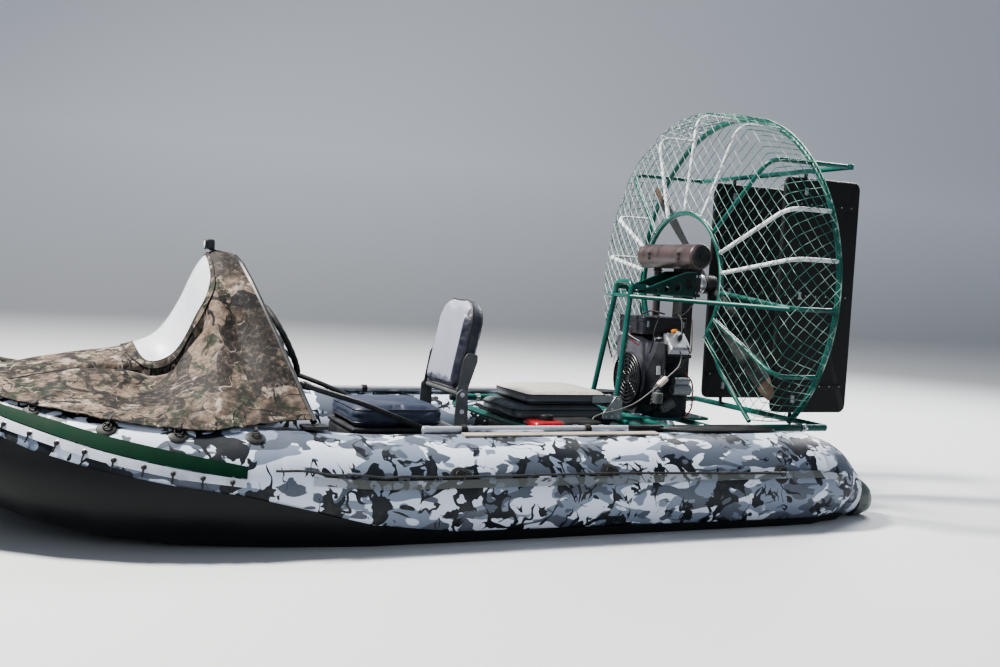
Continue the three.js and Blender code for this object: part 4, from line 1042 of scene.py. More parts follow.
class AIRBOAT_OT_fittings(bpy.types.Operator):
    """Round patches with webbing, eyelets with toggles, rope"""

    bl_idname = "airboat.fittings"
    bl_label = "Tube fittings"

    def execute(self, context):
        discs, rings = [], []
        for u, degrees, radius in PATCHES + ROPE_PATCHES:
            discs.append(self.dome(u, degrees, radius))
            rings.append(self.ring(u, degrees, radius))
        tabs = [self.tab(u, degrees) for u, degrees, _ in PATCHES]
        piece("tube_patches", both_sides(joined(discs)), "black_rubber", crease=50)
        piece("patch_rings", both_sides(joined(rings)), "black_rubber")
        piece("lashing_cords", both_sides(joined(tabs)), "rope_black", crease=50)
        u = np.linspace(4.08, 5.0, 40)
        a = np.interp(u, [4.08, 4.58, 5.0], [18.2, 23.2, 23.2])
        ropes = [carry(on_tube(u, a, 0.020), circle(0.0042, 8))]
        u = np.linspace(5.0, 7.6, 60)
        a = 23.2 + 1.5 * np.sin(np.linspace(0, 3 * np.pi, 60)) ** 2
        ropes.append(carry(on_tube(u, a, 0.019), circle(0.0042, 8)))
        piece("side_ropes", both_sides(joined(ropes)), "rope_black")
        self.eyelets()
        return {"FINISHED"}

    def dome(self, u, degrees, radius, height=0.0045, base=0.0012):
        """Low dome on the tube: rings of on_tube at (r cos t, r sin t) / R, lifted 1 - r^4."""
        t = np.linspace(0, 2 * np.pi, 37)[:-1]
        f = np.array([0.02, 0.3, 0.6, 0.8, 0.92, 1.0])[:, None]
        _, _, _, big = tube_place(np.array(float(u)))
        reach = step_at(u)
        du = f * radius * np.cos(t) / reach
        da = np.degrees(f * radius * np.sin(t) / big)
        lift = base + height * (1 - f ** 4) + 0 * t
        top = on_tube(u + du, degrees + da, lift)
        low = on_tube(u + du[-1:], degrees + da[-1:], np.full((1, len(t)), -0.002))
        return loft(np.vstack([top, low]))

    def ring(self, u, degrees, radius):
        """Steel D-ring lying on the patch: a closed bar round half the patch's radius."""
        t = np.linspace(0, 2 * np.pi, 25)[:-1]
        reach = step_at(u)
        _, _, _, big = tube_place(np.array(float(u)))
        du = 0.42 * radius * np.cos(t) / reach
        da = np.degrees(0.42 * radius * np.sin(t) / big) + 2.0
        return carry(on_tube(u + du, degrees + da, 0.0105), circle(0.0022, 8), True)

    def tab(self, u, degrees):
        """Flat cord from the patch's ring up to the hem, 9 mm wide."""
        a = np.linspace(degrees + 3, 68, 12)[:, None]
        reach = step_at(u)
        across = np.array([-0.0045, 0.0, 0.0045])[None] / reach
        grid = on_tube(u + across + 0 * a, a + 0 * across, 0.012 + 0.008 * (a > 60) + 0 * across)
        return shell(grid, 0.0030)

    def eyelets(self):
        """Steel eyelets along the pale strip, with cord toggles."""
        rows = np.array(PALE_ROWS)
        rims, pegs = [], []
        for place in EYELETS:
            angle = np.interp(place, rows[:, 0], rows[:, 1:].mean(1))
            rims.append(self.dome(place, angle, 0.0085, 0.0012, 0.0052))
            path = on_tube(np.array([place, place]), np.array([angle - 9.5, angle - 1.0]), 0.0075)
            pegs.append(bar(path, 0.0028, 8))
            pegs.append(self.dome(place, angle - 0.6, 0.0075, 0.0075, 0.0068))
        piece("strip_eyelets", both_sides(joined(rims)), "dull_silver", crease=50)
        piece("strip_toggles", both_sides(joined(pegs)), "black_rubber")


# Helm
WHEEL = np.array([0.458, 0, 0.690])
COLUMN = np.array([0.8878, 0, -0.4604])
ACROSS_WHEEL, UP_WHEEL = np.array([0, 1.0, 0]), np.array([0.4604, 0, 0.8878])


def in_wheel(degrees, radius, along=0.0):
    """Point round the steering wheel: centre + r (y cos t + rise sin t) + column a."""
    t = np.radians(degrees)[..., None]
    r, a = np.asarray(radius, float)[..., None], np.asarray(along, float)[..., None]
    return WHEEL + r * (ACROSS_WHEEL * np.cos(t) + UP_WHEEL * np.sin(t)) + COLUMN * a


class AIRBOAT_OT_helm(bpy.types.Operator):
    """Steering wheel and column, brace bars, arch and top lamp"""

    bl_idname = "airboat.helm"
    bl_label = "Helm"

    def execute(self, context):
        t = np.linspace(0, 360, 145)[:-1]
        rim = carry(in_wheel(t, np.full_like(t, 0.152)), circle(0.0122, 16), True,
                    1 + 0.045 * np.cos(np.radians(24 * t)))
        spokes = []
        for degrees in (90, 210, 330):
            f = np.linspace(0, 1, 12)
            path = in_wheel(np.full(12, float(degrees)), 0.026 + 0.118 * f, 0.018 * (1 - f) ** 1.5)
            spokes.append(carry(path, circle(1, 14) * (0.0055, 0.0105)))
        hub = turned([(-0.010, 0.012), (-0.008, 0.024), (-0.004, 0.030), (0.002, 0.0335),
                      (0.030, 0.0335), (0.034, 0.030)], WHEEL, COLUMN, 40)
        piece("wheel_rim", joined([rim, *spokes, hub]), "black_rubber", "steering_wheel",
              ("steering_wheel",))
        cap = turned([(0, 0.018), (0.003, 0.0175), (0.0045, 0.013), (0.005, 0.004)],
                     WHEEL - COLUMN * 0.010, -COLUMN, 32)
        piece("wheel_cap", cap, "plate_bare", "steering_wheel")
        dress(["steering_column", "cover_arch", "arch_foot_port", "arch_foot_starboard"],
              "black_paint", 40)
        points = np.array([[0.496, 0.553, 0.576], [0.210, 0.409, 0.485], [-0.170, 0.2102, 0.333]])
        brace = [bar(points, 0.011, 20, 0.06)]
        for end, way in ((points[0], points[1]), (points[2], points[1])):
            along = (way - end) / np.linalg.norm(way - end)
            brace.append(turned([(0, 0.0135), (0.002, 0.0145), (0.030, 0.0145), (0.032, 0.0135)],
                                end + along * 0.012, along, 24))
        pair("brace", joined(brace), "black_paint", "brace_bar")
        self.lamp()
        return {"FINISHED"}

    def lamp(self):
        """Small lamp on top of the arch: block, foot, rim and lens."""
        body = joined([soft_block([0.732, -0.022, 1.0425], [0.766, 0.022, 1.082], 0.008),
                       soft_block([0.728, -0.014, 1.0372], [0.750, 0.014, 1.0445], 0.002),
                       turned([(0, 0.0205), (0.003, 0.0215), (0.006, 0.0205), (0.006, 0.0178),
                               (0.0025, 0.0172)], (0.764, 0, 1.062), (1, 0, 0), 36)])
        piece("lamp_body", body, "black_plastic", stands_for=("top_lamp",))
        lens = turned([(0, 0.0165), (0.003, 0.0165), (0.0055, 0.0125), (0.0068, 0.006)],
                      (0.7655, 0, 1.062), (1, 0, 0), 36)
        piece("lamp_lens", lens, "lens_clear")


# Seats
VOXEL = 0.006       # size of the cells that a pad is remeshed with, in metres
PRESSURE = 4.0      # of the cloth that a pad is blown up with
SETTLED = 21        # frame at which the pressure has been taken up, and one more


def blown(obj, cap, low, wide):
    """Cloth pressure over the remeshed form; each point moves cap at most, and stays in bounds."""
    remesh = obj.modifiers.new("remesh", "REMESH")
    remesh.mode = "VOXEL"
    remesh.voxel_size = VOXEL
    graph = bpy.context.evaluated_depsgraph_get()
    mesh = bpy.data.meshes.new_from_object(obj.evaluated_get(graph))
    obj.modifiers.clear()
    obj.data = mesh
    start = np.empty(len(mesh.vertices) * 3)
    mesh.vertices.foreach_get("co", start)
    start = start.reshape(-1, 3)
    cloth = obj.modifiers.new("pressure", "CLOTH")
    for setting, value in (("quality", 5), ("mass", 0.3), ("tension_stiffness", 25),
                           ("compression_stiffness", 25), ("shear_stiffness", 10),
                           ("bending_stiffness", 0.5), ("use_pressure", True),
                           ("uniform_pressure_force", PRESSURE)):
        setattr(cloth.settings, setting, value)
    cloth.settings.effector_weights.gravity = 0
    scene = bpy.context.scene
    for step in range(1, SETTLED):
        scene.frame_set(step)
    graph = bpy.context.evaluated_depsgraph_get()
    shown = obj.evaluated_get(graph).data
    flat = np.empty(len(shown.vertices) * 3)
    shown.vertices.foreach_get("co", flat)
    end = flat.reshape(-1, 3)
    move = end - start
    far = np.linalg.norm(move, axis=1, keepdims=True)
    points = start + move * np.minimum(1, cap / np.maximum(far, 1e-9))
    obj.modifiers.clear()
    scene.frame_set(1)
    if low is not None:
        points[:, 2] = np.maximum(points[:, 2], low)
    points[:, 1] = np.clip(points[:, 1], -wide, wide)
    mesh.vertices.foreach_set("co", points.ravel())
    mesh.polygons.foreach_set("use_smooth", np.ones(len(mesh.polygons), bool))
    mesh.update()
    smooth = obj.modifiers.new("smooth", "SUBSURF")
    smooth.levels = smooth.render_levels = 1
    return obj


def stuffed(name, form, look, body, node, cap, low, wide):
    """Padded piece of coated cloth, blown up from a slightly smaller form."""
    obj = piece(name, form, look, body, (node,), 180)
    blown(obj, cap, low, wide)
    obj.data.materials.clear()
    obj.data.materials.append(finish(look))
    return obj


def laid_on(obj, points, middle, lift):
    """Points moved along rays toward the middle onto the piece, then lifted off it."""
    tree = BVHTree.FromObject(obj, bpy.context.evaluated_depsgraph_get())
    shift = np.array([SHIFT, 0, 0])
    found = []
    for point, centre in zip(points, np.broadcast_to(middle, points.shape)):
        way = centre - point
        way = way / np.linalg.norm(way)
        hit = tree.ray_cast(Vector(point + shift), Vector(way))[0]
        found.append(np.array(hit) - shift - way * lift if hit else point)
    return np.array(found)


def outline_ring(lo, hi, r, z, steps=10):
    """Rounded rectangle at height z, with points along its sides as well as its corners."""
    lo, hi = np.asarray(lo, float), np.asarray(hi, float)
    half, mid = (hi - lo)[:2] / 2, (hi + lo)[:2] / 2
    ring = rounded_outline(half[0], half[1], r, steps) + mid
    return even_ring(np.column_stack([ring, np.full(len(ring), z)]), 160)


def piping(obj, ring, middle, radius, name, body="hull"):
    """Sewn welt round a pad, laid on its surface along a ring."""
    path = even_ring(laid_on(obj, ring, middle, radius * 0.5), 170)
    piece(name, carry(path, circle(radius, 8), True), "seat_welt", body)


def welts(pad, lo, hi, heights, radius, name, body="hull"):
    """Welts round a lying pad, one at each height, found from a ring 30 mm outside it."""
    middle = (lo + hi) / 2
    for k, z in enumerate(heights):
        ring = outline_ring(lo - 0.03, hi + 0.03, 0.07, z)
        centre = np.column_stack([np.tile(middle[:2], (len(ring), 1)), np.full(len(ring), z)])
        number = f"_{k + 1}" if len(heights) > 1 else ""
        piping(pad, ring, centre, radius, name + number, body)


def swell(low, high, edge, steps):
    """Places from low to high and the inset at each: quarter circles at both ends, 0 between."""
    a = np.linspace(0, np.pi / 2, steps + 1)
    first, last = low + edge * (1 - np.cos(a)), high - edge * (1 - np.cos(a[::-1]))
    inset = np.concatenate([edge * (1 - np.sin(a)), [0, 0, 0], edge * (1 - np.sin(a[::-1]))])
    return np.concatenate([first, np.linspace(first[-1], last[0], 5)[1:-1], last]), inset


def cushion_form(lo, hi, r, edge, crown, waist=0.004, steps=6):
    """Rounded block whose top rises by crown and whose sides draw in by waist at half height."""
    lo, hi = np.asarray(lo, float), np.asarray(hi, float)
    half, mid = (hi - lo) / 2, (hi + lo) / 2
    height, inset = swell(lo[2], hi[2], edge, steps)
    inset[steps + 1:steps + 4] += waist * np.array([0.7, 1.0, 0.7])
    rings = []
    for z, back in zip(height, inset):
        ring = rounded_outline(half[0] - back, half[1] - back, max(r - back, 0.3 * r), 8)
        rings.append(np.column_stack([ring + mid[:2], np.full(len(ring), z)]))
    flat = rings[-1][:, :2]
    for f in (0.85, 0.6, 0.3):
        rings.append(np.column_stack([mid[:2] + (flat - mid[:2]) * f,
                                      np.full(len(flat), hi[2] + crown * (1 - f ** 2))]))
    return loft(rings)


def upright_pad(y, z0, z1, x0, x1, top, foot, edge, steps=6):
    """Pad standing in the local y-z plane from x0 to x1, round at its top corners."""
    depth, inset = swell(x0, x1, edge, steps)
    return loft([upright_ring(y, z0, z1, x, top, foot, back) for x, back in zip(depth, inset)])


def upright_ring(y, z0, z1, x, top, foot, back=0.0, steps=10):
    """Outline at depth x: corners of radius top above and foot below, drawn in by back."""
    t = np.linspace(0, np.pi / 2, steps + 1)
    out = []
    for k, (sy, high, r) in enumerate(((1, True, top), (-1, True, top), (-1, False, foot),
                                       (1, False, foot))):
        r = max(r - back, 0.004)
        z = (z1 - back - r) if high else (z0 + back + r)
        turn = t + k * np.pi / 2
        out.append(np.stack([np.full(len(t), x), sy * (y - back - r) + r * np.cos(turn),
                             z + r * np.sin(turn)], -1))
    return np.vstack(out)


class AIRBOAT_OT_seats(bpy.types.Operator):
    """Driver's seat and folded second seat: boxes, stuffed pads, welts and brackets"""

    bl_idname = "airboat.seats"
    bl_label = "Seats"

    def execute(self, context):
        self.driver()
        self.second()
        return {"FINISHED"}

    def driver(self):
        """Box, cushion and upright back, with the hinge's sleeve, arms and side plates."""
        case = joined([soft_block([-0.250, -0.200, SOLE], [0.190, 0.200, 0.345], 0.018),
                       soft_block([-0.254, -0.204, 0.341], [0.194, 0.204, 0.3598], 0.008)])
        piece("driver_box", case, "black_plastic", stands_for=("driver_seat_box",))
        lo, hi = np.array([-0.215, -0.215, 0.3603]), np.array([0.205, 0.215, 0.452])
        form = cushion_form(lo + (0.010, 0.010, 0.002), hi - (0.010, 0.010, 0.016), 0.050, 0.026,
                            0.012)
        pad = stuffed("driver_cushion", form, "seat_two_tone", "hull", "driver_seat_cushion",
                      0.014, 0.3606, 0.2155)
        welts(pad, lo, hi, (0.380, 0.430), 0.0032, "driver_cushion_welt")
        turn = turn_matrix("Y", -11)
        place = DRIVER_HINGE
        form = upright_pad(0.192, 0.018, 0.402, -0.040, 0.029, 0.120, 0.034, 0.022)
        back = stuffed("driver_back", form.turned(turn).moved(place), "back_painted_lit_front",
                       "driver_seat_back", "driver_seat_back", 0.010, None, 0.2015)
        ring = even_ring(upright_ring(0.222, -0.012, 0.432, 0.014, 0.15, 0.06, 0, 24), 180)
        centre = np.stack([ring[:, 0], ring[:, 1] * 0.25, 0.2 + (ring[:, 2] - 0.2) * 0.35], -1)
        piping(back, ring @ turn.T + place, centre @ turn.T + place, 0.0034, "driver_back_welt",
               "driver_seat_back")
        sleeve = sleeves([-0.196, 0.196], 0.0086, 0.0122)
        lip = soft_block([-0.012, -0.190, 0.011], [0.012, 0.190, 0.034], 0.004)
        arms = [plate_xz([[-0.020, -0.014], [0.020, -0.014], [0.024, 0.150], [0.010, 0.176],
                          [-0.034, 0.176], [-0.040, 0.150]], y - 0.0018, y + 0.0018, 0.010)
                for y in (0.2065, -0.2065)]
        piece("driver_back_sleeve", joined([sleeve, lip, *arms]).turned(turn).moved(place),
              "bracket_grey", "driver_seat_back")
        plates, bolts = side_plates(
            [[-0.283, 0.342], [-0.236, 0.342], [-0.232, 0.372], [-0.237, 0.505],
             [-0.262, 0.526], [-0.287, 0.505], [-0.292, 0.372]], 0.010,
            ((-0.262, 0.500), (-0.264, 0.362), (-0.263, 0.430)), 0.0075)
        foot = soft_block([-0.285, -0.216, 0.340], [-0.2503, 0.216, 0.352], 0.003)
        plates += [foot, hinge_pin(DRIVER_HINGE, 0.008)]
        piece("driver_brackets", joined(plates), "bracket_grey",
              stands_for=("driver_seat_bracket",))
        piece("driver_bracket_bolts", joined(bolts), "bright_steel")

    def second(self):
        """Box, cushion and folded back, with its hinge's lugs and side plates."""
        case = joined([soft_block([-1.000, -0.190, SOLE], [-0.560, 0.190, 0.380], 0.018),
                       soft_block([-1.003, -0.194, 0.376], [-0.556, 0.194, 0.3948], 0.008)])
        piece("second_box", case, "black_plastic", stands_for=("second_seat_box",))
        lo, hi = np.array([-0.975, -0.212, 0.3953]), np.array([-0.500, 0.212, 0.448])
        form = cushion_form(lo + (0.010, 0.010, 0.001), hi - (0.010, 0.010, 0.006), 0.042, 0.011,
                            0.003)
        pad = stuffed("second_cushion", form, "second_painted_lit_front", "hull", "second_seat_cushion",
                      0.011, 0.3956, 0.2145)
        welts(pad, lo, hi, (0.432,), 0.0028, "second_cushion_welt")
        lo, hi = np.array([-0.988, -0.210, 0.4550]), np.array([-0.562, 0.210, 0.520])
        form = cushion_form(lo + (0.008, 0.010, 0.004), hi - (0.010, 0.010, 0.020), 0.040, 0.010,
                            0.018)
        pad = stuffed("second_back", form, "fold_painted_lit_top", "second_seat_back",
                      "second_seat_back", 0.010, 0.4556, 0.2135)
        welts(pad, lo, hi, (0.468, 0.497), 0.0030, "second_back_welt", "second_seat_back")
        lugs = [sleeves([y - 0.016, y + 0.016], 0.0066, 0.0115).moved(SECOND_HINGE)
                for y in (-0.150, 0.150)]
        lugs += [soft_block([-0.9925, y - 0.014, 0.476], [-0.972, y + 0.014, 0.498], 0.003)
                 for y in (-0.150, 0.150)]
        lugs += [plate_xz([[-0.984, 0.470], [-0.880, 0.466], [-0.880, 0.496], [-0.984, 0.499]],
                          side * 0.2145 - 0.001, side * 0.2145 + 0.001, 0.005) for side in (1, -1)]
        piece("second_back_lugs", joined(lugs), "dull_silver", "second_seat_back")
        plates, bolts = side_plates(
            [[-1.025, 0.397], [-0.930, 0.397], [-0.930, 0.424], [-0.962, 0.460],
             [-0.992, 0.499], [-1.014, 0.499], [-1.025, 0.480]], 0.008,
            ((-1.003, 0.487), (-0.945, 0.408), (-0.975, 0.408), (-1.008, 0.408),
             (-0.975, 0.440)), 0.0055)
        foot = soft_block([-1.000, -0.216, 0.3955], [-0.980, 0.216, 0.405], 0.002)
        plates += [foot, hinge_pin(SECOND_HINGE, 0.006)]
        piece("second_hinges", joined(plates), "dull_silver",
              stands_for=("second_seat_hinge",))
        piece("second_hinge_screws", joined(bolts), "bright_steel")


def side_plates(outline, corner, places, head):
    """The two side plates of a seat's hinge, 8 mm thick, and bolts at the places on each."""
    plates, bolts = [], []
    for side in (1, -1):
        y = side * BRACKET_Y
        plates.append(plate_xz(outline, y - 0.004, y + 0.004, corner))
        bolts += [bolt((x, y + side * 0.004, z), (0, side, 0), head) for x, z in places]
    return plates, bolts


def hinge_pin(place, radius):
    """Bar along y through a hinge, from plate to plate."""
    return bar([place - (0, 0.2245, 0), place + (0, 0.2245, 0)], radius, 20)


def sleeves(span, inner, outer):
    """Tube with a bore, lying along y about the origin: a square ring section carried round."""
    t = 2 * np.pi * np.arange(32) / 32
    rows = [(span[0], inner), (span[0], outer), (span[1], outer), (span[1], inner)]
    rings = np.array([np.stack([r * np.cos(t), np.full_like(t, y), r * np.sin(t)], -1)
                      for y, r in rows])
    return loft(rings, closed=True)


def plate_xz(outline, y0, y1, corner=0.0, edge=0.0012):
    """Flat plate from an outline in x and z, its corners rounded and its rim chamfered."""
    ring = rounded_polygon(np.asarray(outline, float), corner)
    middle = ring.mean(0)
    way = ring - middle
    small = ring - edge * way / np.maximum(np.linalg.norm(way, axis=1, keepdims=True), 1e-9)
    rows = ((y0, small), (y0 + edge, ring), (y1 - edge, ring), (y1, small))
    return loft([np.stack([r[:, 0], np.full(len(r), y), r[:, 1]], -1) for y, r in rows])


def pierced_plate(outline, holes, y0, y1, sides=28):
    """Flat plate in x and z with round holes: its two faces tessellated, walls round each loop."""
    t = 2 * np.pi * np.arange(sides) / sides
    loops = [rounded_polygon(np.asarray(outline, float), 0.006)]
    loops += [np.stack([x + r * np.cos(-t), z + r * np.sin(-t)], -1) for x, z, r in holes]
    flat = np.vstack(loops)
    tris = np.array(tessellate_polygon([[Vector((x, z, 0)) for x, z in loop] for loop in loops]))
    a, b, c = (flat[tris[:, k]] for k in range(3))
    area = (b[:, 0] - a[:, 0]) * (c[:, 1] - a[:, 1]) - (b[:, 1] - a[:, 1]) * (c[:, 0] - a[:, 0])
    tris = np.where(area[:, None] > 0, tris, tris[:, ::-1])
    count, start, walls = len(flat), 0, []
    for k, loop in enumerate(loops):
        i = start + np.arange(len(loop))
        j = start + (np.arange(len(loop)) + 1) % len(loop)
        way = (np.roll(loop, -1, 0) * loop[:, ::-1] * (-1, 1)).sum()
        i, j = (i, j) if (way > 0) == (k == 0) else (j, i)
        walls.append(np.stack([i, j, j + count, i + count], -1))
        start += len(loop)
    points = np.vstack([np.stack([flat[:, 0], np.full(count, y), flat[:, 1]], -1)
                        for y in (y0, y1)])
    return outward(Form(points, np.vstack(walls), np.vstack([tris, tris[:, ::-1] + count])))


def rounded_polygon(points, radius, steps=5):
    """Closed outline whose corners are quadratic curves."""
    if not radius:
        return points
    before, after = np.roll(points, 1, 0), np.roll(points, -1, 0)
    return np.vstack([corner_curve(a, b, c, radius, steps)
                      for a, b, c in zip(before, points, after)])


def bolt(place, way, radius, washer=True):
    """Hexagon head with a chamfer on a round washer."""
    place, way = np.asarray(place, float), np.asarray(way, float)
    forms = [turned([(0, radius * 0.9), (radius * 0.45, radius), (radius * 0.62, radius * 0.8)],
                    place + way * radius * 0.12, way, 6)]
    if washer:
        forms.append(turned([(0, radius * 1.35), (radius * 0.16, radius * 1.3)], place, way, 20))
    return joined(forms)


# Stowed things

# Paddle blade: place along x and half width
PADDLE_BLADE = np.array([
    [-0.935, 0.012], [-0.965, 0.030], [-1.01, 0.058], [-1.07, 0.074], [-1.15, 0.079],
    [-1.25, 0.080], [-1.35, 0.079], [-1.42, 0.076], [-1.462, 0.066], [-1.488, 0.045],
    [-1.4985, 0.012],
])
STRAP_X = (-0.10, -0.62)


class AIRBOAT_OT_stowage(bpy.types.Operator):
    """Fuel can with its cap and strap, paddles lashed on the tubes"""

    bl_idname = "airboat.stowage"
    bl_label = "Stowage"

    def execute(self, context):
        can = [soft_block([-0.860, 0.216, SOLE], [-0.540, 0.366, 0.405], 0.030, 0.018)]
        for x in (-0.63, -0.60, -0.57):
            can.append(soft_block([x - 0.006, 0.3655, 0.09], [x + 0.006, 0.3685, 0.35], 0.0015))
        piece("fuel_can", joined(can), "can_red", stands_for=("fuel_tank",))
        cap = turned([(0, 0.030), (0.006, 0.031), (0.020, 0.029), (0.024, 0.024), (0.025, 0.008)],
                     (-0.62, 0.291, 0.404), (0, 0, 1), 28)
        piece("fuel_can_cap", cap, "black_plastic")
        sleeve = soft_block([-0.8615, 0.2145, 0.20], [-0.655, 0.3700, 0.4075], 0.030, 0.018)
        piece("fuel_can_sleeve", sleeve, "black_rubber")
        self.paddles()
        return {"FINISHED"}

    def paddles(self):
        """Shafts, blades with a rib that fades toward the tip, straps and boards on the tubes."""
        shaft = [bar([(0.060, PADDLE_Y, PADDLE_Z), (-0.815, PADDLE_Y, PADDLE_Z)], 0.0148, 24),
                 turned([(0, 0.006), (0.004, 0.0155), (0.020, 0.0165), (0.034, 0.0155)],
                        (0.062, PADDLE_Y, PADDLE_Z), (-1, 0, 0), 24)]
        sleeve = [bar([(-0.800, PADDLE_Y, PADDLE_Z), (-0.965, PADDLE_Y, PADDLE_Z)], 0.0162, 24)]
        f = np.linspace(-1, 1, 17)
        rings = []
        for place, wide in PADDLE_BLADE:
            rise = 0.0062 * np.exp(-(f * wide / 0.014) ** 2) * np.clip((place + 1.46) / 0.4, 0, 1)
            upper = np.stack([np.full(17, place), PADDLE_Y + f * wide,
                              0.4235 + rise + 0.0025 * (1 - f ** 2)], -1)
            lower = np.stack([np.full(17, place), PADDLE_Y + f[::-1] * wide,
                              0.4182 - 0.0015 * (1 - f ** 2)], -1)
            rings.append(np.vstack([upper, lower]))
        blade = loft(rings)
        for name, side in (("port", 1), ("starboard", -1)):
            def sided(form):
                return form if side > 0 else form.mirrored()
            piece(f"paddle_shaft_{name}", sided(joined(shaft)), "paddle_alloy",
                  stands_for=(f"paddle_{name}",))
            piece(f"paddle_blade_{name}", sided(joined([*sleeve, blade])),
                  "blade_gloss")
            loops = []
            for place in STRAP_X:
                t = np.linspace(-0.25 * np.pi, 1.25 * np.pi, 26)
                path = np.stack([np.full(26, place), PADDLE_Y + 0.0185 * np.cos(t) * 1.15,
                                 PADDLE_Z + 0.0185 * np.sin(t)], -1)
                loops.append(carry(path, np.array([[0.0012, -0.012], [0.0012, 0.012],
                                                   [-0.0012, 0.012], [-0.0012, -0.012]])))
                loops.append(soft_block([place - 0.014, 0.676, 0.4085],
                                        [place + 0.014, 0.700, 0.4175], 0.003))
            piece(f"paddle_straps_{name}", sided(joined(loops)), "black_rubber", crease=50)
            board = band_form([[4.41, 79, 90], [4.93, 79, 90]], 0.006, 0.0008, 6, 60)
            piece(f"side_board_{name}", sided(board), "board_beige", crease=50)


# Engine bay
def clamp(place, way, radius, wide=0.020):
    """Split steel band round a bar, with its two lugs and a bolt."""
    place, way = np.asarray(place, float), np.asarray(way, float)
    band = turned([(-wide / 2, radius + 0.0006), (-wide / 2 + 0.001, radius + 0.0030),
                   (wide / 2 - 0.001, radius + 0.0030), (wide / 2, radius + 0.0006)],
                  place, way, 28)
    side = np.cross(way, (0, 0, 1.0))
    side = side / np.linalg.norm(side)
    lug = soft_block([-wide * 0.4, radius, -0.006], [wide * 0.4, radius + 0.015, 0.006], 0.002)
    basis = np.stack([way, side * (1 if side[1] >= 0 else -1), np.array([0, 0, 1.0])], 1)
    lug = outward(Form(lug.points @ basis.T + place, lug.quads, lug.tris))
    head = bolt(place + basis[:, 1] * (radius + 0.009) + (0, 0, 0.006), (0, 0, 1), 0.0045)
    return joined([band, lug, head])


class AIRBOAT_OT_engine_frame(bpy.types.Operator):
    """Welded green rails, crossbars and legs, with clamps and mounts"""

    bl_idname = "airboat.engine_frame"
    bl_label = "Engine frame"

    def execute(self, context):
        bars = []
        for side in (1, -1):
            y = side * RAIL_Y
            bars.append(bar([(-1.907, y, RAIL_Z), (-0.500, y, RAIL_Z)], 0.016, 28))
            bars += [bar([(x, side * LEG_Y, 0.385), (x, side * LEG_Y, SOLE)], 0.013, 20)
                     for x in LEG_X]
            bars.append(soft_block([-1.540, side * 0.125 - 0.020, 0.378],
                                   [-1.030, side * 0.125 + 0.020, 0.392], 0.003))
            for x in LEG_X:
                bars.append(turned([(0, 0.030), (0.004, 0.030), (0.0055, 0.028)],
                                   (x, side * LEG_Y, SOLE), (0, 0, 1), 24))
        for x, z in ((-1.907, 0.400), (-1.400, 0.378), (-1.190, 0.378), (-1.060, 0.378),
                     (-0.520, 0.372)):
            bars.append(bar([(x, -RAIL_Y, z), (x, RAIL_Y, z)], 0.014, 24))
        bars.append(soft_block([-1.540, -0.130, 0.380], [-1.455, 0.130, 0.3918], 0.003))
        piece("frame_bars", joined(bars), "green_paint", stands_for=("engine_frame",))
        hoop = np.array([[-1.047, 0.120, 0.394], [-1.120, 0.071, 0.930], [-1.130, 0.068, 1.006]])
        line = np.vstack([hoop, hoop[::-1] * (1, -1, 1)])
        parts = [bar(bend(line, 0.062, 12), 0.0125, 24),
                 bar([(-1.121, -0.071, 0.942), (-1.121, 0.071, 0.942)], 0.010, 20)]
        for side in (1, -1):
            parts.append(plate_xz([[-1.120, 0.974], [-1.120, 0.996], [-1.194, 0.999],
                                   [-1.194, 0.971]], side * 0.0835 - 0.003, side * 0.0835 + 0.003,
                                  0.004))
        piece("hoop_bars", joined(parts), "green_paint", stands_for=("front_hoop",))
        clamps = [clamp((x, side * RAIL_Y, RAIL_Z), (1, 0, 0), 0.016)
                  for side in (1, -1) for x in (-0.640, -0.760, -1.240, -1.780)]
        piece("rail_clamps", joined(clamps), "bright_steel")
        caps = [turned([(0, 0.0162), (0.006, 0.0172), (0.010, 0.0150), (0.012, 0.008)],
                       (-0.506, side * RAIL_Y, RAIL_Z), (1, 0, 0), 24) for side in (1, -1)]
        piece("rail_caps", joined(caps), "black_rubber")
        bolts = [bolt((x, side * 0.125, 0.392), (0, 0, 1), 0.008)
                 for side in (1, -1) for x in (-1.500, -1.060)]
        piece("mount_bolts", joined(bolts), "bright_steel")
        return {"FINISHED"}


GRILLE_RINGS = (0.030, 0.048, 0.066, 0.084, 0.102, 0.118)
# Fuel hose, from the engine down to the can
HOSE = np.array([
    [-1.3000, 0.2363, 0.7047], [-1.300, 0.252, 0.689], [-1.286, 0.262, 0.640],
    [-1.238, 0.250, 0.592], [-1.186, 0.246, 0.546], [-1.080, 0.250, 0.472],
    [-0.990, 0.252, 0.440], [-0.900, 0.256, 0.425], [-0.852, 0.268, 0.408],
    [-0.8626, 0.285, 0.372],
])
HOSE_RADIUS = 0.0028
# Muffler's drum: distance from its port end and radius
MUFFLER_ROWS = (
    (0, 0.030), (0.002, 0.044), (0.006, 0.053), (0.011, 0.0572), (0.016, 0.0585),
    (0.021, 0.0570), (0.126, 0.0568), (0.129, 0.0576), (0.134, 0.0576), (0.137, 0.0568),
    (0.454, 0.0570), (0.459, 0.0585), (0.464, 0.0572), (0.469, 0.053), (0.473, 0.044),
    (0.475, 0.030),
)
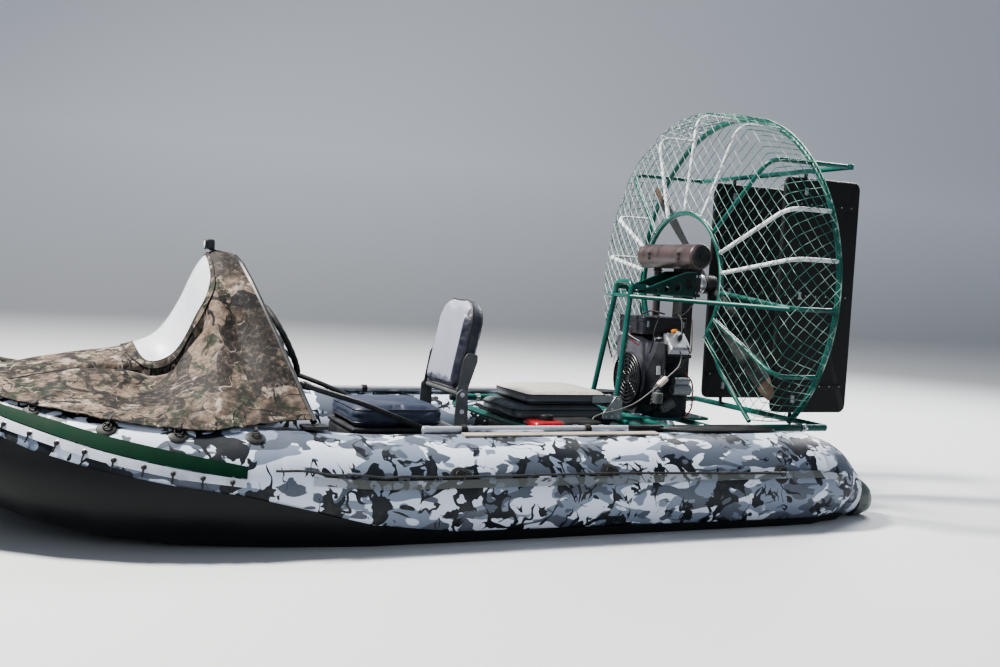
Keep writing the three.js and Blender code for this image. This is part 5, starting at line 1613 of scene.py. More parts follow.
# Cables: name, radius, sides, look and the supports of each run
CABLES = (
    ("cable_red", 0.0036, 10, "cable_red", (
        [[-1.388, 0.150, 0.600], [-1.418, 0.168, 0.560], [-1.4257, 0.170, 0.500],
         [-1.4230, 0.170, 0.440], [-1.396, 0.176, 0.405], [-1.373, 0.190, 0.396]],)),
    ("cable_brown", 0.0026, 8, "cable_brown", (
        [[-1.410, 0.150, 0.850], [-1.385, 0.196, 0.780], [-1.360, 0.236, 0.720],
         [-1.340, 0.258, 0.700], [-1.325, 0.250, 0.735]],)),
    ("cables_dark", 0.0032, 8, "black_rubber", (
        [[-1.250, 0.110, 0.860], [-1.220, 0.170, 0.850], [-1.190, 0.190, 0.800],
         [-1.186, 0.186, 0.740], [-1.180, 0.172, 0.690]],
        [[-1.395, 0.060, 0.852], [-1.420, 0.090, 0.880], [-1.452, 0.096, 0.930],
         [-1.462, 0.100, 0.990]],
        [[-1.115, -0.088, 0.900], [-1.125, -0.140, 0.820], [-1.150, -0.160, 0.720],
         [-1.165, -0.140, 0.640]])),
)
THIN_WIRES = (
    ("wire_red_thin", 0.0024, 8, "cable_red", (
        [[-1.150, 0.060, 0.792], [-1.128, 0.090, 0.784], [-1.120, 0.110, 0.742],
         [-1.150, 0.128, 0.722]],)),
    ("wire_pale_thin", 0.0022, 8, "tape_white", (
        [[-1.150, 0.040, 0.800], [-1.116, 0.060, 0.800], [-1.108, 0.096, 0.770],
         [-1.150, 0.130, 0.740]],)),
)


class AIRBOAT_OT_engine(bpy.types.Operator):
    """Engine: housing with its grille, finned cylinders, filter, muffler, wires and hose"""

    bl_idname = "airboat.engine"
    bl_label = "Engine"

    def execute(self, context):
        dress(["engine_block"], "engine_dark", 30)
        # The shroud's front face is painted paler, as painted light from the bow.
        dress(["fan_shroud"], "shroud_painted_lit_face", 34)
        dress(["valve_cover_port", "valve_cover_starboard"], "cast_silver", 30)
        dress(["starter"], "dull_silver", 30)
        self.column()
        self.grille()
        self.air_box()
        self.trim()
        self.muffler()
        self.wires()
        self.hose()
        return {"FINISHED"}

    def column(self):
        """Belt housing, its gusset plates with round holes, and the bearing's drum."""
        case = [soft_block([-1.484, -0.042, 0.3925], [-1.420, 0.042, 0.960], 0.008, 0.002),
                soft_block([-1.497, -0.080, 0.950], [-1.436, 0.080, 1.085], 0.010, 0.004),
                *(soft_block([-1.490, -0.050, z], [-1.414, 0.050, z + 0.016], 0.008, 0.002)
                  for z in (0.660, 0.540))]
        piece("belt_case", joined(case), "black_paint", stands_for=("drive_column",))
        outline = [[-1.190, 0.962], [-1.190, 0.978], [-1.400, 1.062], [-1.458, 1.065],
                   [-1.458, 0.952], [-1.400, 0.955]]
        holes = [(-1.250, 0.9735, 0.009), (-1.303, 0.9815, 0.013), (-1.362, 0.9925, 0.018),
                 (-1.422, 1.008, 0.021)]
        lips = []
        for side, name in ((1, "port"), (-1, "starboard")):
            y = side * GUSSET_Y
            plate = pierced_plate(outline, holes, y - 0.0024, y + 0.0024)
            # The plates' green is darkened as painted shade; their lips keep the frame's paint.
            piece(f"gusset_plate_{name}", plate, "gusset_painted_shade",
                  stands_for=(f"gusset_{name}",), crease=30)
            for heights in ((0.9785, 1.0625, 1.0650), (0.9615, 0.9545, 0.9515)):
                lips.append(bar([(x, y, z) for x, z in zip((-1.190, -1.400, -1.458), heights)],
                                0.0036, 10))
        piece("gusset_lips", joined(lips), "green_paint")
        drum = turned([(0, 0.036), (0.002, 0.0465), (0.014, 0.0480), (0.016, 0.0440),
                       (0.034, 0.0440), (0.036, 0.0480), (0.046, 0.0470), (0.048, 0.038)],
                      (-1.4970, 0, SHAFT_Z), (-1, 0, 0), 48)
        piece("bearing_drum", drum, "bright_steel")

    def grille(self):
        """Round screen before the fan: rings and radial bars over a dark dished plate."""
        middle = np.array([0, 0, GRILLE_Z])
        parts = []
        t = 2 * np.pi * np.arange(72) / 72
        for radius in GRILLE_RINGS:
            path = np.stack([np.full(72, GRILLE_X), radius * np.sin(t),
                             GRILLE_Z + radius * np.cos(t)], -1)
            parts.append(carry(path, circle(0.0024 if radius < 0.11 else 0.0046, 8), True))
        for k in range(12):
            a = math.radians(30 * k + 8)
            way = np.array([0, math.sin(a), math.cos(a)])
            parts.append(bar([middle + way * 0.022 + (-1.1722, 0, 0),
                              middle + way * 0.119 + (-1.1722, 0, 0)], 0.0028, 8))
        piece("grille_rings", joined(parts), "grille_dark", stands_for=("fan_grille",))
        plate = turned([(0, 0.120), (0.003, 0.122), (0.0035, 0.100), (0.0015, 0.03)],
                       (-1.1777, 0, GRILLE_Z), (1, 0, 0), 64)
        piece("grille_plate", plate, "engine_dark")

    def air_box(self):
        """Air filter's case with its lid and clips."""
        lid = joined([soft_block([-1.388, -0.078, 0.7708], [-1.157, 0.146, 0.848], 0.012, 0.005),
                      soft_block([-1.390, -0.080, 0.8275], [-1.155, 0.148, 0.8520], 0.013, 0.005)])
        piece("air_box_case", lid, "shroud_dark", stands_for=("air_box",), crease=40)
        clips = [soft_block([x - 0.006, 0.1462, 0.806], [x + 0.006, 0.1505, 0.834], 0.0015)
                 for x in (-1.366, -1.178)]
        piece("air_box_clips", joined(clips), "dull_silver")

    def trim(self):
        """Ribs on the housing's port side, plates, small reservoir, filter and bearing."""
        ribs = []
        for k in range(5):
            x = -1.2395 - 0.0005 * k
            z0, z1 = 0.455 + 0.018 * k, 0.520 + 0.018 * k
            y = 0.185 + 0.004 * k
            ribs.append(bar([(x + 0.030, y - 0.028, z0), (x + 0.006, y + 0.001, z1)], 0.0028, 8))
        # The ribs are pale: painted highlights of the housing's bright facets.
        piece("housing_ribs", joined(ribs), "shroud_painted_highlight")
        plate = soft_block([-1.2570, 0.1885, 0.593], [-1.2120, 0.1915, 0.633], 0.0010)
        piece("housing_plate", plate, "plate_bare")
        tank = turned([(0, 0.012), (0.003, 0.022), (0.046, 0.0235), (0.050, 0.018),
                       (0.052, 0.010), (0.060, 0.010), (0.061, 0.004)],
                      (-1.204, 0.226, 0.467), (0, 0, 1), 28)
        piece("oil_reservoir", tank, "filter_grey_paint")
        can = turned([(0, 0.0215), (0.003, 0.0240), (0.052, 0.0240), (0.058, 0.0225),
                      (0.0605, 0.0185), (0.0708, 0.0180), (0.0715, 0.006)],
                     (-1.326, 0.1593, 0.464), (0.8944, 0, -0.4472), 32)
        piece("oil_filter_can", can, "filter_grey_paint", stands_for=("oil_filter",))
        ring = turned([(0, 0.040), (0.002, 0.0405), (0.008, 0.0395), (0.0107, 0.036)],
                      (-1.5453, 0, SHAFT_Z), (-1, 0, 0), 48)
        piece("bearing_ring", ring, "bright_steel", stands_for=("bearing_hub",))
        block = []
        for side in (1, -1):
            for x, z in ((-1.4680, 0.970), (-1.4680, 1.048), (-1.4860, 0.970), (-1.4860, 1.048)):
                block.append(bolt((x, side * 0.0798, z), (0, side, 0), 0.0050))
        piece("column_bolts", joined(block), "bright_steel")
        heads = []
        for side in (1, -1):
            way = np.array([0, side * 0.7071, 0.7071])
            across = np.array([0, -side * 0.7071, 0.7071])
            for u in (-0.040, 0.040):
                for v in (-0.038, 0.038):
                    spot = np.array([-1.302 + u, 0, 0.540]) + way * 0.292 + across * v
                    heads.append(bolt(spot, way, 0.0055, False))
        piece("valve_cover_bolts", joined(heads), "bright_steel")
        elbow = carry(bend([(-1.232, 0.118, 0.772), (-1.232, 0.152, 0.772), (-1.232, 0.162, 0.736),
                            (-1.232, 0.150, 0.716)], 0.03, 8), circle(0.014, 18))
        piece("breather_elbow", elbow, "black_rubber")
        ring = clamp((-1.232, 0.1565, 0.7555), (0, 0.27, -0.963), 0.0142, 0.010)
        piece("breather_clamp", ring, "bright_steel")

    def muffler(self):
        """Drum across the boat with rolled seams, its bands and the pipe down to the engine."""
        drum = turned(MUFFLER_ROWS, (MUFFLER_X, 0.278, MUFFLER_Z), (0, -1, 0), 56)
        pipe = bar([(-1.375, -0.115, 1.100), (-1.377, -0.115, 0.940), (-1.378, -0.115, 0.7735)],
                   0.0180, 24)
        weld = turned([(0, 0.0180), (0.004, 0.0225), (0.010, 0.0225), (0.014, 0.0180)],
                      (-1.3752, -0.115, 1.076), (0, 0, -1), 24)
        flange = turned([(0, 0.0300), (0.005, 0.0300), (0.006, 0.0280)], (-1.378, -0.115, 0.7737),
                        (0, 0, 1), 6)
        piece("muffler_drum", joined([drum, pipe, weld, flange]), "muffler_steel",
              stands_for=("muffler",))
        cap = turned([(-0.002, 0.034), (0.0005, 0.046), (0.004, 0.0495), (0.010, 0.050)],
                     (MUFFLER_X, 0.2805, MUFFLER_Z), (0, -1, 0), 48)
        port = turned([(0, 0.010), (0, 0.0145), (0.008, 0.0145), (0.008, 0.010)],
                      (MUFFLER_X, 0.2905, MUFFLER_Z), (0, -1, 0), 24)
        piece("muffler_end", joined([cap, port]), "black_paint")
        bands = []
        for y in (0.172, -0.083):
            bands.append(soft_block([-1.304, y - 0.006, 1.118], [-1.2985, y + 0.006, 1.152],
                                    0.0015))
            for half, z in ((0.011, 1.147), (0.008, 1.121)):
                bands.append(bar([(-1.2965, y - half, z), (-1.2965, y + half, z)], 0.003, 8))
        piece("muffler_clips", joined(bands), "black_paint")

    def wires(self):
        """Cables tied along the engine, each a spline through its supports."""
        self.lay(CABLES)
        self.leads()
        self.lay(THIN_WIRES)
        knob = turned([(0, 0.015), (0.004, 0.017), (0.012, 0.016), (0.015, 0.010)],
                      (-1.302, 0.1800, 0.7860), (0, -0.2, 1.0), 20)
        piece("filler_cap", knob, "cap_orange")

    def lay(self, table):
        """A piece for each row of the table, with all its runs."""
        for name, radius, sides, look, runs in table:
            piece(name, joined([carry(spline(run, 10), circle(radius, sides)) for run in runs]),
                  look)

    def leads(self):
        """Spark plug leads with their boots, and the ties of the red cable."""
        leads = []
        for side in (1, -1):
            tip = np.array([-1.306, side * 0.222, 0.762])
            path = spline([tip + (0, side * 0.012, 0.010), [-1.330, side * 0.190, 0.838],
                           [-1.350, side * 0.120, 0.872], [-1.380, side * 0.040, 0.862]], 12)
            leads.append(carry(path, circle(0.0040, 10)))
            leads.append(turned([(0, 0.010), (0.012, 0.0105), (0.030, 0.007), (0.034, 0.004)],
                                tip - (0, side * 0.010, 0.010), (0, side * 0.5, 0.866), 16))
        piece("plug_leads", joined(leads), "black_rubber")
        ties = [turned([(-0.004, 0.0052), (-0.003, 0.0066), (0.003, 0.0066), (0.004, 0.0052)],
                       place, way, 12)
                for place, way in (((-1.4257, 0.170, 0.520), (0, 0, -1)),
                                   ((-1.4237, 0.170, 0.455), (0.04, 0, -1)))]
        piece("cable_ties", joined(ties), "tape_white")

    def hose(self):
        """Fuel hose along the engine's port side down to the can, with its filter."""
        path = bend(HOSE, 0.040, 8)
        hose = piece("fuel_hose", carry(path, circle(HOSE_RADIUS, 12)), "hose_pale",
                     stands_for=("fuel_line",))
        start, end = np.array([-1.232, 0.2496, 0.587]), np.array([-1.190, 0.2462, 0.5495])
        along = (end - start) / np.linalg.norm(end - start)
        size = float(np.linalg.norm(end - start))
        body = turned([(0, 0.006), (0.003, 0.0125), (0.006, 0.0140), (size - 0.006, 0.0140),
                       (size - 0.003, 0.0125), (size, 0.006)], start, along, 28)
        filt = piece("fuel_filter", body, "filter_white")


# Cage, propeller and rudders
def polar(x, radius, degrees):
    """Point round the propeller's shaft, from straight up toward port."""
    t = np.radians(degrees)
    return np.stack([x + 0 * t, radius * np.sin(t), SHAFT_Z + radius * np.cos(t)], -1)


def wrapped(path, radius, tape):
    """Bar along a path; taped, its radius rises in turns of a helix like wound tape."""
    far = np.concatenate([[0], np.cumsum(np.linalg.norm(np.diff(path, axis=0), axis=1))])
    steps = max(int(far[-1] / (0.006 if tape else 0.02)), 8)
    place = np.linspace(0, far[-1], steps)
    fine = np.stack([np.interp(place, far, path[:, k]) for k in range(3)], -1)
    if not tape:
        return carry(fine, circle(radius, 16))
    sides = 14
    side, up = frames(fine)
    t = 2 * np.pi * (np.arange(sides) + 0.5) / sides
    lap = np.mod(place[:, None] / 0.026 - t[None] / (2 * np.pi), 1.0)
    grow = radius - 0.0010 + 0.0014 * lap
    rings = fine[:, None] + grow[..., None] * (np.cos(t)[None, :, None] * side[:, None]
                                               + np.sin(t)[None, :, None] * up[:, None])
    return loft(rings)


def struts(a, b, radius, sides=4):
    """Many thin straight bars at once: a prism from each a to each b, its ends closed by fans."""
    way = b - a
    way = way / np.linalg.norm(way, axis=1, keepdims=True)
    side = np.cross(way, np.where(np.abs(way[:, :1]) < 0.9, [[1.0, 0, 0]], [[0, 1.0, 0]]))
    side = side / np.linalg.norm(side, axis=1, keepdims=True)
    up = np.cross(way, side)
    t = 2 * np.pi * np.arange(sides) / sides
    ring = radius * (np.cos(t)[None, :, None] * side[:, None] + np.sin(t)[None, :, None]
                     * up[:, None])
    points = np.concatenate([a[:, None] + ring, b[:, None] + ring], axis=1).reshape(-1, 3)
    j = np.arange(sides)
    k = (j + 1) % sides
    wall = np.stack([j, k, k + sides, j + sides], -1)
    base = (np.arange(len(a)) * 2 * sides)[:, None, None]
    quads = (wall[None] + base).reshape(-1, 4)
    first = np.stack([np.zeros(sides - 2, int), j[2:], j[1:-1]], -1)
    last = np.stack([np.zeros(sides - 2, int), j[1:-1], j[2:]], -1) + sides
    tris = (np.vstack([first, last])[None] + base).reshape(-1, 3)
    return outward(Form(points, quads, tris))


NET_END = 136         # degrees from the top at which the net ends on both sides
# Net's section: x and radius, from the inner ring to the hoop
NET_PROFILE = np.array([[-1.4188, 0.340], [-1.4275, 0.430], [-1.4355, 0.520], [-1.4435, 0.610],
                        [-1.4515, 0.700], [-1.465, 0.796], [-1.546, 0.8044], [-1.621, 0.8044],
                        [-1.697, 0.8044]])
RADIALS = (0, 25, 46, 65, 81, 96, 118)      # degrees of the bars from the top, on both sides
TAPED = (0, 25, 65, 81)
LOOP_AT = 46
LOOP_Z = SHAFT_Z + CAGE_R * math.cos(math.radians(LOOP_AT))


class AIRBOAT_OT_cage(bpy.types.Operator):
    """Propeller cage: green bars, white tape on some of them, and the net"""

    bl_idname = "airboat.cage"
    bl_label = "Cage"

    def execute(self, context):
        bars, taped = [], []
        t = np.linspace(-138, 138, 181)
        bars.append(carry(polar(HOOP_X, CAGE_R, t), circle(0.0125, 20)))
        t = np.linspace(-131, 131, 121)
        bars.append(carry(polar(RING_X, RING_R, t), circle(0.011, 18)))
        for degrees in RADIALS:
            for side in (1, -1) if degrees else (1,):
                a = float(degrees * side)
                if degrees == LOOP_AT:
                    end = np.array([LOOP_X, side * LOOP_Y, LOOP_Z])
                else:
                    end = polar(HOOP_X, CAGE_R, a)
                path = bend([polar(RING_X, RING_R, a), polar(FRONT_X, CAGE_R, a), end], 0.070, 10)
                white = degrees in TAPED
                (taped if white else bars).append(wrapped(path, 0.010, white))
        bars.append(bar([(LOOP_X, -LOOP_Y, LOOP_Z), (LOOP_X, LOOP_Y, LOOP_Z)], 0.012, 24))
        for side in (1, -1):
            path = [polar(RING_X, RING_R, 131.0 * side), (-1.480, side * 0.300, 0.620),
                    (-1.490, side * RAIL_Y, 0.428)]
            bars.append(bar(path, 0.010, 20, 0.040))
            bars.append(bar([(-1.119, side * 0.080, 0.940), (-1.471, side * 0.770, 0.930)],
                            0.010, 20))
            bars.append(turned([(0, 0.016), (0.003, 0.017), (0.020, 0.017), (0.022, 0.0145)],
                               (LOOP_X, side * LOOP_Y, LOOP_Z - 0.011), (0, 0, 1), 24))
        piece("cage_bars", joined(bars), "green_paint", stands_for=("cage_frame",))
        piece("cage_tape", joined(taped), "tape_white", crease=50)
        self.net(context)
        return {"FINISHED"}

    def net(self, context):
        """Diamonds: two sets of parallel strands in the net's flat plan, at 45 degrees.

        The plan is bent over the profile: its radius is the length along the profile, and its
        angle stays.
        """
        cage = context.scene.airboat_cage
        far = NET_PROFILE[0, 1] + np.concatenate(
            [[0], np.cumsum(np.linalg.norm(np.diff(NET_PROFILE, axis=0), axis=1))])
        count = int(far[-1] / cage.mesh) + 1
        a = (np.arange(-count, count) + 0.3)[:, None] * cage.mesh
        b = (np.arange(-2 * count, 2 * count) + 0.6)[None] * cage.mesh / 2
        limit = math.radians(NET_END)
        starts, ends = [], []
        for first, second in ((a + 0 * b, b + 0 * a), (b + 0 * a, a + 0 * b)):
            u, w = (first - second) / 2 ** 0.5, (first + second) / 2 ** 0.5
            u, w = (u + 0.0030 * np.sin(11 * w + 5 * u) + 0.0014 * np.sin(67 * u + 31 * w),
                    w + 0.0030 * np.sin(13 * u - 4 * w) + 0.0014 * np.sin(59 * w - 37 * u))
            plan, t = np.hypot(u, w), np.arctan2(u, w)
            inside = (plan > far[0]) & (plan < far[-1]) & (np.abs(t) < limit)
            plan, t = np.clip(plan, far[0], far[-1]), np.clip(t, -limit, limit)
            x, r = (np.interp(plan, far, NET_PROFILE[:, k]) for k in range(2))
            knots = np.stack([x, r * np.sin(t), SHAFT_Z + r * np.cos(t)], -1)
            keep = (inside[:, 1:] | inside[:, :-1])
            keep &= np.linalg.norm(knots[:, 1:] - knots[:, :-1], axis=-1) < cage.mesh
            starts.append(knots[:, :-1][keep])
            ends.append(knots[:, 1:][keep])
        a, b = np.vstack(starts), np.vstack(ends)
        keep = np.linalg.norm(a - b, axis=1) > 0.001
        wires = struts(a[keep], b[keep], cage.wire, 4)
        x, r = NET_PROFILE.T
        rims = [carry(polar(x[k], r[k], np.linspace(-NET_END, NET_END, 160)), circle(0.0024, 6))
                for k in (0, -1)]
        edge = [carry(np.stack([x, r * np.sin(w), SHAFT_Z + r * np.cos(w)], -1), circle(0.0024, 6))
                for w in (-limit, limit)]
        piece("net_wires", joined([wires, *rims, *edge]), "net_coating",
              stands_for=("cage_net",), crease=30)


# Propeller blade's sections: distance from the shaft, chord, thickness and pitch in degrees
BLADE_ROWS = np.array([
    [0.020, 0.040, 0.024, 55], [0.120, 0.076, 0.020, 50], [0.260, 0.110, 0.015, 36],
    [0.420, 0.112, 0.012, 25], [0.580, 0.092, 0.009, 18], [0.680, 0.066, 0.007, 15],
    [0.720, 0.036, 0.005, 13],
])
BLADE_TURN = 48         # degrees that the blades stand from upright
TIP_FROM = 0.628        # distance from the shaft at which a blade's tip is painted
# Rudder: its edges, half thickness, and heights of its battens and hinges
RUDDER_FRONT, RUDDER_AFT = LOOP_X + 0.119, LOOP_X - 0.318
RUDDER_LOW, RUDDER_TOP, RUDDER_HALF = 0.435, 1.533, 0.0118
BATTEN_Z, HINGE_Z = (0.56, 0.985, 1.41), (0.500, 0.985, 1.470)


class AIRBOAT_OT_propulsion(bpy.types.Operator):
    """Two-blade propeller with its hub, and the air rudders"""

    bl_idname = "airboat.propulsion"
    bl_label = "Propulsion"

    def execute(self, context):
        turn = turn_matrix("X", BLADE_TURN)
        centre = np.array([PROP_X, 0, SHAFT_Z])
        fine = spline(BLADE_ROWS, 9)
        blades = [self.blade(fine[fine[:, 0] < TIP_FROM + 0.012], sign) for sign in (1, -1)]
        tips = [self.blade(fine[fine[:, 0] > TIP_FROM], sign) for sign in (1, -1)]
        hub = turned([(0, 0.040), (0.003, 0.0455), (0.012, 0.046), (0.052, 0.046), (0.060, 0.042),
                      (0.0655, 0.030)], (-1.5563, 0, SHAFT_Z), (-1, 0, 0), 48)
        piece("propeller_blades", joined(blades).turned(turn, centre), "blade_dark",
              "propeller", ("propeller",), 40)
        piece("propeller_hub", hub, "black_paint", "propeller", (), 40)
        piece("propeller_tips", joined(tips).turned(turn, centre), "blade_tip",
              "propeller", (), 40)
        bolts = []
        for k in range(6):
            a = math.radians(60 * k + 15)
            bolts.append(bolt((-1.6170, 0.028 * math.sin(a), SHAFT_Z + 0.028 * math.cos(a)),
                              (-1, 0, 0), 0.0055))
        bolts.append(bolt((-1.6210, 0, SHAFT_Z), (-1, 0, 0), 0.010))
        piece("propeller_bolts", joined(bolts).turned(turn, centre), "bright_steel",
              "propeller")
        for side, name in ((1, "port"), (-1, "starboard")):
            self.rudder(side * RUDDER_Y, name)
        return {"FINISHED"}

    def blade(self, rows, sign):
        """Sections along the span: chord c cos t, thickness d sin t, a rounder nose, pitched."""
        t = 2 * np.pi * np.arange(28) / 28
        rings = []
        for reach, chord, thick, pitch in rows:
            a = math.radians(pitch) * sign
            along = 0.5 * chord * np.cos(t)
            deep = 0.5 * thick * np.sin(t) * (1 + 0.35 * np.cos(t)) + 0.10 * thick * np.cos(t) ** 2
            rings.append(np.stack([PROP_X + along * math.sin(a) + deep * math.cos(a),
                                   along * math.cos(a) - deep * math.sin(a),
                                   np.full(28, SHAFT_Z + sign * reach)], -1))
        return loft(rings)

    def rudder(self, y, name):
        """Flat board with rounded rims, riveted battens, its pivot and its hinges."""
        body = f"rudder_{name}"
        front, aft = RUDDER_FRONT, RUDDER_AFT
        outline = [[front, RUDDER_LOW], [aft, RUDDER_LOW], [aft, RUDDER_TOP], [front, RUDDER_TOP]]
        ring = rounded_polygon(np.array(outline), 0.040, 8)
        middle = ring.mean(0)
        rows = []
        for f, back in ((-1, 0.007), (-0.72, 0.0025), (-0.35, 0), (0.35, 0), (0.72, 0.0025),
                        (1, 0.007)):
            small = middle + (ring - middle) * (1 - back / np.abs(ring - middle).max(0))
            rows.append(np.stack([small[:, 0], np.full(len(small), y + f * RUDDER_HALF),
                                  small[:, 1]], -1))
        board = loft(rows)
        pivot = bar([(LOOP_X, y, 0.4145), (LOOP_X, y, LOOP_Z - 0.0125)], 0.009, 20)
        piece(f"rudder_board_{name}", joined([board, pivot]), "rudder_black", body,
              (f"rudder_{name}",), 30)
        trims, rivets = [], []
        for z in BATTEN_Z:
            for s in (1, -1):
                sides = sorted((y + s * 0.0116, y + s * 0.0140))
                trims.append(soft_block([aft + 0.03, sides[0], z - 0.012],
                                        [front - 0.015, sides[1], z + 0.012], 0.001))
                rivets += [turned([(0, 0.0042), (0.0012, 0.0036), (0.0018, 0.0015)],
                                  (x, y + s * 0.0140, z), (0, s, 0), 12)
                           for x in np.linspace(aft + 0.05, front - 0.035, 7)]
        piece(f"rudder_battens_{name}", joined(trims), "rudder_black", body)
        piece(f"rudder_rivets_{name}", joined(rivets), "dull_silver", body)
        straps = [turned([(-0.018, 0.0135), (-0.016, 0.0160), (0.016, 0.0160), (0.018, 0.0135)],
                         (LOOP_X, y, z), (0, 0, 1), 24) for z in HINGE_Z]
        piece(f"rudder_hinges_{name}", joined(straps), "dull_silver", body)


# Stage

# Floor: its front edge, where it starts to rise, radius of the rise, top and half width
FRONT_EDGE, RISE_Y, RISE_R, WALL_TOP, HALF_WIDTH = 80.0, -14.0, 5.0, 60.0, 120.0
# Opening of the floor inside the hull: x of its ends, and half its width
OPENING_X, OPENING_Y = (-1.44, 0.72), 0.60
SKY = (0.80, 0.87, 1.0, 1)
# Lamps: place, point that they are turned to, size, share of the key's power, and colour
LAMPS = {
    "key": ((4.6, -2.2, 8.6), (0, 0, 0.5), 1.4, 1.0, (1.0, 0.96, 0.9)),
    "fill": ((2.0, 9.0, 4.0), (0, 0, 0.6), 5.0, 0.05, (0.88, 0.94, 1.0)),
    "rim": ((-6.0, -3.0, 5.0), (-1, 0, 0.8), 3.0, 0.22, (1.0, 1.0, 1.0)),
}


class AIRBOAT_OT_stage(bpy.types.Operator):
    """Floor at the waterline, soft lights and the camera at the photograph's place"""

    bl_idname = "airboat.stage"
    bl_label = "Stage"

    def execute(self, context):
        stage = context.scene.airboat_stage
        floor = piece("studio_floor", self.backdrop(stage.waterline), "studio_floor")
        world = bpy.data.worlds.new("studio")
        world.use_nodes = True
        background = world.node_tree.nodes["Background"]
        background.inputs["Color"].default_value = SKY
        background.inputs["Strength"].default_value = stage.ambient
        context.scene.world = world
        for name, (place, aim, size, share, tint) in LAMPS.items():
            light = bpy.data.lights.new(name, "AREA")
            light.size = size
            light.energy = stage.key * share
            light.color = tint
            z = np.subtract(place, aim) / np.linalg.norm(np.subtract(place, aim))
            x = np.cross((0, 0, 1.0), z)
            x = x / np.linalg.norm(x)
            self.placed(context, name, light, (x, np.cross(z, x), z), place)
        self.camera(context, stage)
        context.scene.view_settings.view_transform = "AgX"
        context.scene.view_settings.look = "AgX - Medium High Contrast"
        context.scene.view_settings.exposure = stage.exposure
        return {"FINISHED"}

    def backdrop(self, height):
        """Floor that rises behind the boat: flat, then a quarter circle of 5 m, then upright.

        It is open inside the hull, between the tubes.
        """
        t = np.linspace(0, np.pi / 2, 25)
        y = np.concatenate([[FRONT_EDGE, OPENING_Y, -OPENING_Y], RISE_Y - RISE_R * np.sin(t),
                            [RISE_Y - RISE_R]])
        z = np.concatenate([[0, 0, 0], RISE_R * (1 - np.cos(t)), [WALL_TOP]]) + height
        x = np.array([-HALF_WIDTH, *OPENING_X, HALF_WIDTH])
        grid = np.stack(np.broadcast_arrays(x[None], y[:, None], z[:, None]), -1)
        keep = np.ones((len(y) - 1, len(x) - 1), bool)
        keep[1, 1] = False
        return shell(grid, 0.02, -0.02, keep)

    def camera(self, context, stage):
        """Heading, pitch and roll of the photograph: forward from the first two, then rolled."""
        yaw, pitch, roll = (math.radians(v) for v in (stage.yaw, stage.pitch, stage.roll))
        level = np.array([-math.sin(yaw), -math.cos(yaw), 0])
        right = np.array([-math.cos(yaw), math.sin(yaw), 0])
        up = np.array([0, 0, 1.0])
        forward = level * math.cos(pitch) + up * math.sin(pitch)
        top = up * math.cos(pitch) - level * math.sin(pitch)
        axes = (right * math.cos(roll) + top * math.sin(roll),
                top * math.cos(roll) - right * math.sin(roll), -forward)
        data = bpy.data.cameras.new("photo_camera")
        data.sensor_width = 36.0
        data.lens = stage.lens
        data.clip_end = 200.0
        context.scene.camera = self.placed(context, "photo_camera", data, axes,
                                           tuple(stage.camera_place))

    def placed(self, context, name, data, axes, place):
        """An object whose three axes and place are given, in the scene."""
        matrix = np.eye(4)
        matrix[:3, :3] = np.array(axes).T
        matrix[:3, 3] = place
        obj = bpy.data.objects.new(name, data)
        obj.matrix_world = Matrix(matrix.tolist())
        context.scene.collection.objects.link(obj)
        return obj


# Settings
def colour(name, description, value):
    """Colour property with its default."""
    return FloatVectorProperty(name=name, description=description, subtype="COLOR", size=3,
                               min=0, max=1, default=value)


def length(name, description, value):
    """Length property in metres with its default."""
    return FloatProperty(name=name, description=description, unit="LENGTH", default=value)


class AirboatHull(bpy.types.PropertyGroup):
    """Colours of the tubes' camouflage"""

    pale: colour("Pale", "Ground colour of the camouflage", (0.56, 0.61, 0.71))
    middle: colour("Middle grey", "First grey blotches", (0.17, 0.205, 0.27))
    grey: colour("Dark grey", "Second grey blotches", (0.075, 0.09, 0.12))
    dark: colour("Near black", "Branches over the blotches", (0.006, 0.009, 0.014))


class AirboatCover(bpy.types.PropertyGroup):
    """Colours of the bow cover's cloth"""

    tan: colour("Tan", "Ground colour", (0.170, 0.125, 0.096))
    brown: colour("Brown", "Broad blotches", (0.042, 0.032, 0.025))
    olive: colour("Olive", "Leaf-like blotches", (0.022, 0.028, 0.018))
    shadow: colour("Shadow", "Dark blotches and twigs", (0.010, 0.010, 0.011))
    pale: colour("Pale", "Faded patches", (0.30, 0.255, 0.22))


class AirboatCage(bpy.types.PropertyGroup):
    """Paint and net of the propeller cage"""

    paint: colour("Paint", "Green of the welded bars", (0.003, 0.052, 0.044))
    paint_worn: colour("Worn paint", "Green where it has faded", (0.010, 0.098, 0.080))
    mesh: length("Mesh", "Space between the net's strands", 0.046)
    wire: length("Wire", "Radius of the net's wire", 0.0017)


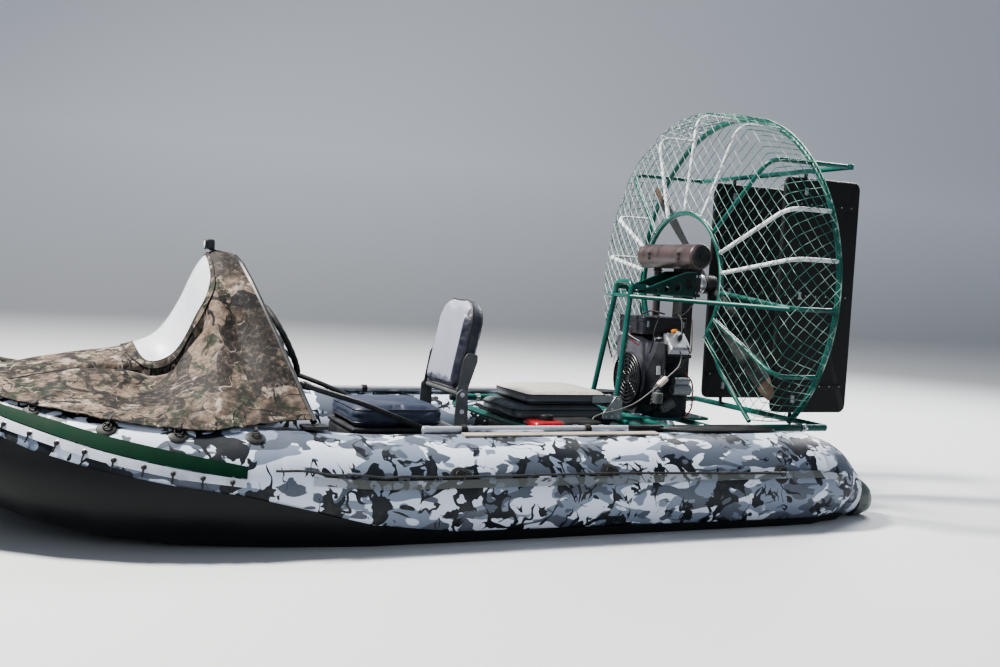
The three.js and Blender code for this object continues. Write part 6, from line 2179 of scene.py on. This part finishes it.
class AirboatStage(bpy.types.PropertyGroup):
    """Floor, lights and camera"""

    waterline: length("Waterline", "Height of the floor over the hull's bottom", 0.050)
    key: FloatProperty(name="Key light", description="Power of the main light", default=3100.0)
    ambient: FloatProperty(name="Ambient", description="Strength of the world", default=0.38)
    exposure: FloatProperty(name="Exposure", description="Exposure of the view", default=0.0)
    camera_place: FloatVectorProperty(name="Camera place", description="Where the photo was taken",
                                      subtype="TRANSLATION", default=(1.4952, 4.3718, 1.0043))
    yaw: FloatProperty(name="Heading", description="Degrees from square across the boat",
                       default=23.61)
    pitch: FloatProperty(name="Pitch", description="Degrees over the horizon", default=-3.089)
    roll: FloatProperty(name="Roll", description="Degrees of the camera's roll", default=3.162)
    lens: FloatProperty(name="Lens", description="Focal length on a 36 mm sensor", default=38.98)


GROUPS = {"airboat_hull": AirboatHull, "airboat_cover": AirboatCover,
          "airboat_cage": AirboatCage, "airboat_stage": AirboatStage}
OPERATORS = (AIRBOAT_OT_stage, AIRBOAT_OT_tubes, AIRBOAT_OT_bands, AIRBOAT_OT_bottom,
             AIRBOAT_OT_cover, AIRBOAT_OT_fittings, AIRBOAT_OT_helm, AIRBOAT_OT_seats,
             AIRBOAT_OT_stowage, AIRBOAT_OT_engine_frame, AIRBOAT_OT_engine, AIRBOAT_OT_cage,
             AIRBOAT_OT_propulsion)


class AIRBOAT_PT_panel(bpy.types.Panel):
    """Buttons for the airboat's pieces"""

    bl_label = "Airboat"
    bl_idname = "AIRBOAT_PT_panel"
    bl_space_type = "VIEW_3D"
    bl_region_type = "UI"
    bl_category = "Airboat"

    def draw(self, context):
        for operator in OPERATORS:
            self.layout.operator(operator.bl_idname)


CLASSES = (*GROUPS.values(), *OPERATORS, AIRBOAT_PT_panel)


def register():
    for cls in CLASSES:
        bpy.utils.register_class(cls)
    for name, group in GROUPS.items():
        setattr(bpy.types.Scene, name, bpy.props.PointerProperty(type=group))


def unregister():
    for name in GROUPS:
        delattr(bpy.types.Scene, name)
    for cls in reversed(CLASSES):
        bpy.utils.unregister_class(cls)


def main():
    """Makes every piece in order."""
    register()
    for operator in OPERATORS:
        group, name = operator.bl_idname.split(".")
        getattr(getattr(bpy.ops, group), name)()


if __name__ == "__main__":
    main()
